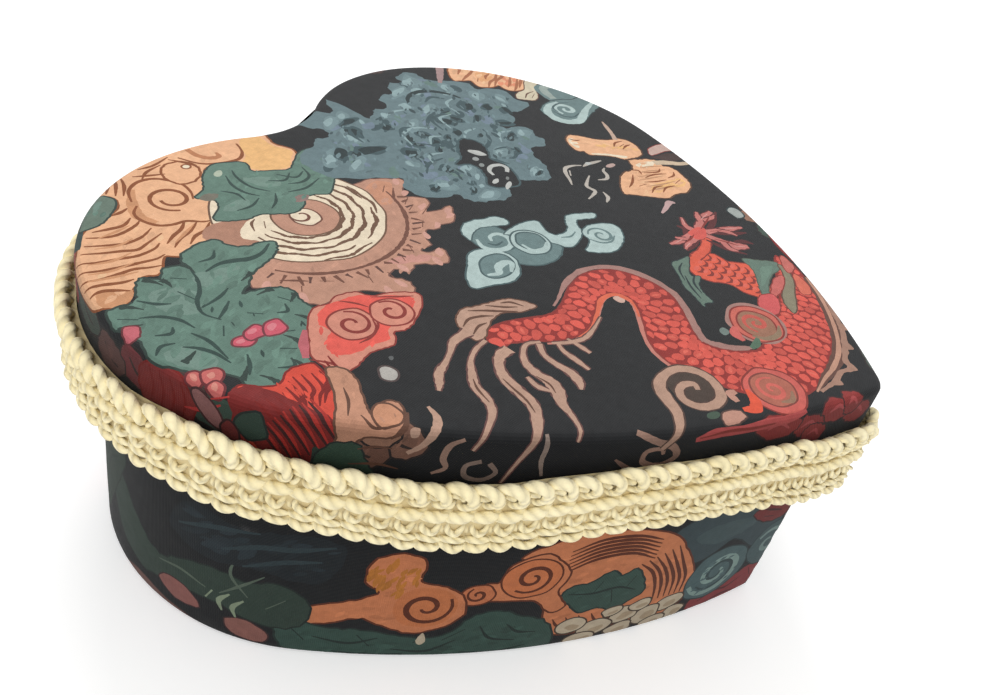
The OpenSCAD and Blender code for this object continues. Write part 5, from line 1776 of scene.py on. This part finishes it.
    art.stroke([(-57, -70), (-50, -74.6), (-44, -80), (-38, -84.4)], (0.4, 0.9, 0.9, 0.4), MAROON)
    under = [(-18, -90.6), (-10, -91.4), (-3, -92.6), (6, -92.8), (15, -91), (25, -87.4), (35, -82.4),
             (44, -76)]
    art.stroke(under, (0.8, 3.4, 4.0, 4.2, 4.0, 2.6), srgb(104, 72, 62), 0.1)
    art.stroke(under, (0.6, 1.4, 1.5, 1.4, 0.8), srgb(206, 162, 142), 0.15)
    hem = [(-17, -91.6), (-9, -94.2), (-3, -95), (1, -97.4), (4, -95.2), (12, -93.8), (20, -91.8),
           (27, -88.6), (36, -83.6), (46, -76)]
    art.stroke(hem, (1.0, 1.9, 1.7, 2.2, 1.8, 1.9, 1.2), srgb(176, 140, 124), 0.25)
    for x, y in ((-9, -95.4), (1.4, -98), (12, -95.4), (22, -92.4)):
        art.blob([(x - 2.2, y + 1.6), (x + 2.2, y + 1.6), (x + 0.2, y - 1.2)], srgb(176, 140, 124),
                 rough=0.1)
    art.blob([(32, -77), (37, -74), (43, -72), (40, -77), (35, -79.4)], srgb(222, 124, 106), MAROON, 0.4)
    art.blob([(42, -70.6), (47, -67), (52, -66), (48, -71)], srgb(206, 122, 114), MAROON, 0.4)


# The print's repeat along the cloth, and up it, in mm.
REPEAT = 240
RISE = 66


def lid_side(art, shift):
    """What runs down the lid's side between the top's roll and the band, by run from the tip and height.

    The photograph shows it without a shift; the same goes on round the sides that it doesn't show.
    """
    half = girth(0) / 2

    def edge(*spots):
        """Flat places on the cloth of spots given by run and height."""
        rows = np.array(spots, float)
        return [tuple(p) for p in side_spot(rows[:, 0] + shift, rows[:, 1])]

    def clear(run):
        """Far enough from the cleft, where the side's cloth is cut."""
        return abs((run + shift + half) % (2 * half) - half) < half - 60

    dull = srgb(150, 58, 56)
    for run, z, wide in ((-10, 86, 6), (-20, 89, 7), (-30, 86, 6), (-42, 88, 8), (-26, 82, 5),
                         (-14, 90, 4)):
        if clear(run):
            art.blob(edge((run - wide, z + 1), (run - wide / 2, z + 4), (run + wide / 3, z + 3),
                          (run + wide, z), (run + wide / 2, z - 4), (run - wide / 2, z - 3)), dull,
                     srgb(60, 26, 26), 0.5, 0.4)
            art.stroke(edge((run - wide / 2, z), (run, z + 1.4), (run + wide / 2, z - 1)),
                       (0.5, 1.2, 0.5), srgb(190, 92, 92))
    for spots, widths, tone in ((((-86, 92), (-80, 89), (-75, 87), (-73, 83.5), (-77, 81), (-82, 82.5),
                                  (-82, 86), (-78, 86.5), (-77, 84.6)),
                                 (1.6, 2.2, 2.0, 1.8, 1.6, 1.4, 1.0), srgb(170, 138, 124)),
                                (((-90, 84), (-86, 81), (-82, 79)), (0.6, 1.6, 1.2), srgb(150, 120, 108)),
                                (((-109, 92), (-108.6, 88), (-108.8, 84), (-107.6, 79)),
                                 (0.9, 1.3, 1.2, 0.7), srgb(164, 146, 136)),
                                (((-121, 83), (-119, 80), (-122, 77.6), (-126, 78.6), (-126.4, 82),
                                  (-123, 83.6)), (1.3, 1.3), srgb(150, 130, 120)),
                                (((-128, 90), (-131, 88), (-132, 84), (-131, 81), (-134, 79)),
                                 (0.9, 1.8, 1.4, 0.8), srgb(170, 140, 126))):
        if clear(spots[0][0]):
            art.stroke(edge(*spots), widths, tone)
    for run, z, wide, tone in ((-142, 88, 6, srgb(132, 98, 84)), (-150, 84, 6, srgb(116, 84, 72)),
                               (-157, 90, 6, srgb(66, 84, 74)), (-147, 91, 5, srgb(160, 122, 104)),
                               (-182, 86, 7, srgb(64, 82, 72)), (-190, 89, 5, srgb(78, 58, 54)),
                               (-205, 86, 6, srgb(120, 60, 62)), (-215, 84, 6, srgb(104, 74, 70)),
                               (-228, 88, 8, srgb(72, 84, 76))):
        if clear(run):
            art.blob(edge((run - wide, z), (run - wide * 0.6, z + 4.5), (run + wide * 0.4, z + 4),
                          (run + wide, z - 1), (run + wide * 0.3, z - 5), (run - wide * 0.7, z - 4)),
                     tone, srgb(40, 30, 28), 0.6, 0.4)
            art.stroke(edge((run - wide * 0.4, z + 2), (run, z - 1), (run + wide * 0.5, z - 2)),
                       (0.5, 0.9, 0.5), srgb(50, 38, 34))
            art.mottle(edge((run - wide, z), (run, z + 4), (run + wide, z), (run, z - 4)), tone, 16, 2.2,
                       20, 0.4)
    if clear(-167):
        art.blob(edge((-160, 92), (-176, 92), (-178, 84), (-172, 78), (-160, 78), (-156, 84)),
                 srgb(150, 54, 50), RED_LINE, 0.6, 0.3)
        for number in range(8):
            run = -175 + number * 2.3
            art.strokes(RED_LINE, 1.0, edge((run - 1, 91.5), (run + 0.6, 87), (run + 0.2, 83),
                                            (run + 2.4, 78.6)))
    if clear(-196):
        art.blob(edge((-192, 91), (-200, 91), (-204, 86), (-202, 79), (-192, 78), (-188, 84)),
                 srgb(136, 52, 50), RED_LINE, 0.6, 0.3)
        for number in range(4):
            run = -201 + number * 3.0
            art.strokes(RED_LINE, 0.9, edge((run, 90), (run + 1.4, 85), (run + 0.6, 80)))


def base_front(art):
    """The base's visible side by run from the tip (negative on the left) and height."""
    side_sage = srgb(62, 84, 76)
    side_line = srgb(34, 48, 44)
    orange = srgb(214, 142, 108)
    orange_line = srgb(96, 50, 34)
    stone = srgb(212, 198, 176)
    art.blob([(-2, 30), (-10, 46), (-24, 52), (-44, 50), (-54, 40), (-46, 31), (-34, 28), (-24, 34),
              (-12, 26)], srgb(60, 74, 78), srgb(34, 42, 44), 0.6, 0.5)
    art.blob([(-16, 40), (-30, 44), (-42, 41), (-34, 35), (-22, 36)], srgb(72, 88, 90), rough=0.5)
    art.blob([(-2, 38), (-6, 45), (-14, 47), (-20, 43), (-14, 38), (-7, 36)], srgb(116, 44, 42),
             srgb(50, 22, 22), 0.5, 0.3)
    art.strokes(srgb(60, 22, 22), 1.0, [(-16, 44), (-11, 42), (-6, 40)], [(-14, 40), (-9, 38.4)])
    art.blob([(-2, 2), (0, 10), (-6, 14), (-14, 11), (-22, 12), (-30, 6), (-28, 0), (-14, -3)],
             srgb(138, 60, 62), srgb(54, 24, 26), 0.6, 0.4)
    art.strokes(srgb(84, 32, 36), 1.1, [(-26, 4), (-20, 7), (-14, 6), (-8, 9)],
                [(-22, 1), (-15, 3), (-8, 2)], [(-6, 12), (-3, 7)])
    field = [(-98, 43), (-90, 48), (-80, 50.5), (-66, 50), (-52, 45), (-43, 35), (-36, 24), (-32, 14),
             (-40, 5), (-60, 6), (-78, 6), (-84, 12), (-86, 24), (-84, 34), (-90, 40)]
    art.blob(field, orange, orange_line, 0.7, 0.3)
    art.mottle(field, orange, 220, 2.6, 10, 0.22)
    for number in range(6):
        lift = 1.8 * number
        art.strokes(orange_line, 1.2, [(-84, 35 + lift), (-75, 39.6 + lift * 0.9), (-64, 40 + lift * 0.8),
                                       (-55, 35.6 + lift * 0.9)])
    for number in range(6):
        step = 2.3 * number
        art.strokes(orange_line, 1.2, [(-59 + step, 34 + 1.0 * number), (-53.5 + step, 29),
                                       (-50 + step, 22), (-48 + step * 0.9, 14)])
    for number in range(5):
        run = -82 + number * 4.2
        art.strokes(orange_line, 1.0, [(run, 14), (run + 2, 10.6), (run + 5, 8.4)])
    art.blob([(-54, 20), (-56, 27), (-60, 32), (-64, 30), (-68, 33), (-74, 29), (-80, 28), (-82, 23),
              (-78, 20), (-74, 15.6), (-68, 17), (-63, 14), (-58, 17)], side_sage, side_line, 0.7, 0.3)
    art.mottle([(-56, 22), (-62, 30), (-74, 28), (-80, 24), (-74, 17), (-62, 16)], side_sage, 50, 2.0, 20,
               0.3)
    art.strokes(side_line, 1.0, [(-80, 25), (-72, 24), (-64, 25), (-57, 22)], [(-72, 24), (-70, 29)],
                [(-66, 25), (-64, 18)], [(-61, 24), (-59, 29)])
    art.oval(-24, 18, 12.4, 12.0, 0, srgb(84, 104, 106), srgb(40, 52, 54), 0.06, 16)
    art.curl(-24, 18, 10.6, 1.6, 200, (1.6, 2.8, 2.4, 2.0, 1.2), srgb(146, 168, 162), 0.16)
    art.curl(-24, 18, 8.2, 1.4, 215, (0.8, 1.5, 1.3, 0.6), srgb(52, 68, 70), 0.18)
    art.mottle([(-35, 18), (-30, 28), (-18, 28), (-13, 18), (-20, 7), (-30, 8)], srgb(84, 104, 106), 40,
               1.6, 30, 0.3)
    art.blob([(0, 14), (-7, 15), (-12, 22), (-10, 30), (-4, 34), (2, 30)], srgb(76, 94, 96),
             srgb(40, 52, 54), 0.5)
    art.curl(-3, 24, 7.0, -1.2, 150, (1.4, 2.2, 1.8, 1.0), srgb(132, 152, 148), 0.2)
    for x, y, a, b in ((-40, 10, 5, 3.6), (-48, 7, 5, 4), (-57, 10, 5, 4), (-66, 6, 5.4, 3.6),
                       (-75, 9, 4.6, 3.6), (-52, 13, 3.6, 2.6), (-62, 13, 3.4, 2.2), (-36, 4, 4, 3),
                       (-44, 2, 4.6, 2.6), (-57, 3, 5, 2.6), (-70, 2, 5, 2.6)):
        art.oval(x, y, a, b, 8, stone, srgb(76, 62, 52), 0.14, 9)
        art.oval(x + 0.8, y - 0.8, a * 0.5, b * 0.4, 8, srgb(186, 168, 144), rough=0.3, points=7)
    art.blob([(-86, 40), (-92, 44), (-100, 40), (-102, 33), (-106, 32), (-104, 26), (-97, 25), (-90, 24),
              (-84, 18), (-80, 20), (-84, 27), (-82, 34)], orange, orange_line, 0.7, 0.2)
    art.oval(-93, 34, 8.4, 8.0, 0, srgb(214, 136, 100), orange_line, 0.03, 14)
    art.curl(-93, 34, 6.4, 1.6, 230, (0.8, 1.5, 1.3, 0.8), orange_line, 0.14)
    art.oval(-107.4, 28, 4.6, 4.2, 0, srgb(206, 132, 100), orange_line, 0.05, 12)
    art.curl(-107.4, 28, 3.2, 1.3, 120, (0.6, 1.1, 0.6), orange_line)
    art.blob([(-116, 14), (-110, 20), (-112, 28), (-118, 32), (-124, 34), (-124, 42), (-130, 44.6),
              (-137, 41), (-138, 33), (-134, 29), (-140, 25), (-148, 22), (-156, 19), (-152, 14),
              (-146, 15), (-138, 18), (-132, 15), (-124, 12)], orange, orange_line, 0.7, 0.3)
    art.mottle([(-112, 16), (-114, 28), (-124, 36), (-128, 43), (-136, 40), (-134, 28), (-150, 20),
                (-146, 16), (-130, 16)], orange, 110, 2.6, 20, 0.22)
    art.mottle([(-122, 32), (-125, 43), (-131, 44), (-137, 41), (-138, 32), (-130, 26)],
               srgb(196, 132, 80), 60, 3.0, 70, 0.12)
    art.oval(-121, 23, 9.0, 8.6, 0, srgb(208, 134, 98), None, 0.03, 14)
    art.curl(-121, 23, 7.6, -1.5, 30, (0.9, 1.7, 1.5, 0.9), orange_line, 0.16)
    art.blob([(-80, 2), (-84, 13), (-92, 17), (-98, 20), (-106, 19), (-112, 12), (-118, 9), (-126, 10),
              (-134, 12), (-142, 12), (-150, 13), (-158, 16), (-160, 8), (-156, 1), (-140, -4),
              (-110, -6), (-90, -4)], side_sage, side_line, 0.7, 0.4)
    art.mottle([(-84, 4), (-88, 14), (-104, 17), (-114, 8), (-134, 10), (-156, 13), (-156, 0),
                (-120, -2)], side_sage, 160, 2.8, 15, 0.35)
    art.strokes(side_line, 1.1, [(-150, 8), (-140, 6), (-132, 9)], [(-128, 4), (-118, 3), (-110, 8)],
                [(-104, 14), (-100, 8), (-92, 6)], [(-96, 14), (-92, 10), (-86, 9)],
                [(-144, 2), (-134, 1), (-124, 2)], [(-108, 2), (-98, 1), (-88, 3)],
                [(-156, 11), (-152, 6)], [(-114, 8), (-108, 13)], [(-138, 10), (-134, 5)],
                [(-122, 7), (-118, 11)])
    art.blob([(-118.6, 8), (-120, 11.6), (-121.4, 8), (-120, 6)], stone, rough=0.1)
    art.blob([(-152, 22), (-160, 28), (-168, 26), (-178, 27), (-188, 24), (-196, 20), (-204, 24),
              (-214, 34), (-222, 30), (-216, 14), (-204, 8), (-192, 12), (-178, 14), (-164, 10),
              (-154, 12)], srgb(52, 66, 58), srgb(30, 40, 36), 0.6, 0.4)
    art.strokes(srgb(96, 108, 96), 1.0, [(-164, 30), (-170, 24), (-176, 18)],
                [(-172, 34), (-173, 27), (-168, 20)], [(-196, 18), (-188, 20), (-180, 18)],
                [(-158, 22), (-163, 17)])
    art.blob([(-182, 8), (-186, 13), (-192, 14), (-196, 10), (-190, 6)], srgb(152, 104, 98),
             srgb(60, 38, 38), 0.5)
    art.blob([(-162, 6), (-168, 10), (-174, 8), (-172, 3), (-164, 2)], srgb(150, 106, 98),
             srgb(60, 38, 38), 0.5)
    art.strokes(srgb(148, 160, 138), 1.6, [(-169, 18), (-172, 14), (-171, 10)],
                [(-173, 19), (-176, 15), (-175, 11)], [(-178, 18), (-180, 14)])
    art.blob([(-145, 46), (-158, 48), (-172, 46), (-186, 48), (-192, 36), (-182, 30), (-168, 32),
              (-152, 30), (-146, 36)], srgb(26, 32, 36), None, rough=0.5)
    art.mottle([(-146, 46), (-170, 46), (-188, 46), (-190, 36), (-170, 33), (-148, 34)], srgb(38, 47, 52),
               50, 4.0, 20, 0.3)
    art.strokes(srgb(50, 62, 66), 1.8, [(-147, 45), (-156, 42.6), (-166, 41), (-176, 36)],
                [(-150, 39), (-160, 37), (-170, 32)], [(-166, 46), (-178, 43), (-189, 38)])
    art.blob([(-212, 44), (-224, 46), (-236, 36), (-238, 20), (-230, 8), (-222, 20), (-216, 32)],
             srgb(50, 62, 54), srgb(30, 38, 34), 0.5, 0.4)
    art.strokes(srgb(34, 46, 40), 1.0, [(-216, 40), (-224, 32), (-230, 18)], [(-222, 40), (-228, 30)])
    art.blob([(-216, -2), (-206, 4), (-196, 3), (-180, 0), (-182, -6), (-206, -8)], srgb(120, 90, 84),
             srgb(52, 38, 36), 0.5)


def draw_lid():
    """The lid's print: what runs down its sides first, then the top."""
    art = Drawing(11)
    for shift in (2 * REPEAT, REPEAT, 0):
        lid_side(art, shift)
    for motif in (wave_and_scroll, sun, leaves, coral_cloud, slate_mass, right_edge, ruyi_cloud, dragon):
        motif(art)
    return art.shapes


def draw_base():
    """The base's print, which repeats along the wall and up it.

    The photograph shows one repeat. The others are laid under it.
    """
    art = Drawing(23)
    base_front(art)
    repeats = []
    for run, z in ((-1.5, RISE), (-0.5, RISE), (0.5, RISE), (1.5, RISE), (2, 0), (1, 0), (-1, 0)):
        for outline, colour in art.shapes:
            moved = np.array(outline) + (run * REPEAT, z)
            if np.abs(moved[:, 0]).min() < BASE_GIRTH / 2 and moved[:, 1].min() < BASE_RIM:
                repeats.append((moved, colour))
    return repeats + art.shapes


# The pieces

brocade = printed_cloth()
sateen = plain_cloth("lining_sateen", (0.62, 0.42, 0.16), 0.3, 0.45, 0.1)
felt = plain_cloth("under_felt", (0.05, 0.05, 0.06), 0.9, 0.92, 0.4, 0.3, 0.0003)
cotton = cotton_yarn()
board = card_board()
paper = gummed_paper()

lid_sheet = dress(lid_cloth(draw_lid()), brocade, "lid", "brocade", "lid_cover_cloth")
base_sheet = dress(base_cloth(draw_base()), brocade, "base", "brocade", "base_cover_cloth")
dress(crocheted_band(), cotton, "lid", "crochet_cotton", "crocheted_band")

# The strips' profiles are (distance off the lid's side, height).
lid_wall = strip_piece("lid_wall_sateen", [(-3.35, 64.9), (-3.85, 65.0), (-3.85, 76.0), (-3.85, 88.2)])
dress(lid_wall, sateen, "lid", "lining", "lid_wall_lining")
lid_ceiling = filled_heart("lid_ceiling_sateen", -3.9, 88.32)
dress(lid_ceiling, sateen, "lid", "lining", "lid_ceiling_lining")
base_wall = strip_piece("base_wall_sateen", [(-8.0, 85.5), (-8.5, 85.4), (-8.5, 60.0), (-8.5, 30.0),
                                             (-8.5, 3.3)])
dress(base_wall, sateen, "base", "lining", "base_wall_lining")
under = filled_heart("under_felt_sheet", -8.65, 0.25)
dress(under, felt, "base", "under_cloth", "base_under_sheet")

pad = dress(floor_pad(), sateen, "base", "lining", "floor_pad_cushion")
dress(pad_welt(), sateen, "base", "lining")

lid_area = heart_area(-ROLL_R) + girth(0) * (ROLL + SIDE_RUN + HEM) * MM * MM
girth(-3.85) * MM
girth(-8.5) * MM
heart_area(-3.9)
heart_area(-8.65)

for node in ("lid_top_board", "lid_wall_strip", "base_floor_board", "base_wall_strip", "floor_pad_card"):
    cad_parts[node].data.materials[0] = board
for node in ("lid_joint_tape", "base_joint_tape"):
    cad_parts[node].data.materials[0] = paper

# Camera: the photograph's angle, fitted to the heart's outline.

AZIMUTH = -1.2655
ELEVATION = 0.6269
ROLL_ANGLE = 0.2656
DISTANCE = 303.49
TARGET = np.array((-2.99, 3.51, 47.39))
FOCAL = 905.72
FRAME_WIDE = 1000

back_way = np.array((math.sin(AZIMUTH) * math.cos(ELEVATION), -math.cos(AZIMUTH) * math.cos(ELEVATION),
                     math.sin(ELEVATION)))
right_way = np.array((math.cos(AZIMUTH), math.sin(AZIMUTH), 0.0))
up_way = np.cross(back_way, right_way)
rolled_right = right_way * math.cos(ROLL_ANGLE) + up_way * math.sin(ROLL_ANGLE)
rolled_up = up_way * math.cos(ROLL_ANGLE) - right_way * math.sin(ROLL_ANGLE)
lens = bpy.data.cameras.new("camera")
lens.sensor_width = 36.0
lens.lens = FOCAL / FRAME_WIDE * lens.sensor_width
lens.clip_start = 0.01
lens.clip_end = 50.0
camera = bpy.data.objects.new("camera", lens)
spot = (TARGET + back_way * DISTANCE) * MM
columns = [(*rolled_right, 0.0), (*rolled_up, 0.0), (*back_way, 0.0), (*spot, 1.0)]
camera.matrix_world = Matrix(columns).transposed()
bpy.context.scene.collection.objects.link(camera)
bpy.context.scene.camera = camera

# Floor and light


def white_to_the_eye(tree):
    """1 for what the camera sees straight, mirrored or through glass, otherwise 0."""
    path = tree.nodes.new("ShaderNodeLightPath")
    seen = path.outputs["Is Camera Ray"]
    for name in ("Is Glossy Ray", "Is Transmission Ray"):
        more = tree.nodes.new("ShaderNodeMath")
        more.operation = "MAXIMUM"
        tree.links.new(seen, more.inputs[0])
        tree.links.new(path.outputs[name], more.inputs[1])
        seen = more.outputs[0]
    return seen


floor = mesh_object("floor", [(-4, -4, -0.0002), (4, -4, -0.0002), (4, 4, -0.0002), (-4, 4, -0.0002)],
                    [(0, 1, 2, 3)], False, 1.0)
floor_net = Net("floor", Roughness=0.9, Specular_IOR_Level=0.1)
floor_net.shader.inputs["Base Color"].default_value = (0.88, 0.88, 0.88, 1.0)
floor_net.shader.inputs["Emission Color"].default_value = (1.0, 1.0, 1.0, 1.0)
floor_net.to("Emission Strength", floor_net.math("MULTIPLY", white_to_the_eye(floor_net.tree), 0.32))
floor.data.materials.append(floor_net.material)

scene = bpy.context.scene
scene.view_settings.view_transform = "Standard"
world = bpy.data.worlds.new("studio")
scene.world = world
world.use_nodes = True
sky = world.node_tree.nodes["Background"]
sky.inputs["Color"].default_value = (1.0, 1.0, 1.0, 1.0)
SKY = 0.80
glow = world.node_tree.nodes.new("ShaderNodeMath")
glow.operation = "MULTIPLY_ADD"
world.node_tree.links.new(white_to_the_eye(world.node_tree), glow.inputs[0])
glow.inputs[1].default_value = 1.0 - SKY
glow.inputs[2].default_value = SKY
world.node_tree.links.new(glow.outputs[0], sky.inputs["Strength"])


def lamp(name, place, aim, size, power):
    """A square soft lamp that looks at a point, in metres and watts."""
    light = bpy.data.lights.new(name, "AREA")
    light.size = size
    light.energy = power
    made = bpy.data.objects.new(name, light)
    made.location = place
    made.rotation_euler = (Vector(aim) - Vector(place)).to_track_quat("-Z", "Y").to_euler()
    scene.collection.objects.link(made)


lamp("key", (0.6, 0.6, 1.3), (0.0, 0.0, 0.06), 0.6, 6.0)
lamp("fill", (-1.3, -0.4, 0.8), (0.0, 0.0, 0.05), 0.9, 5.0)
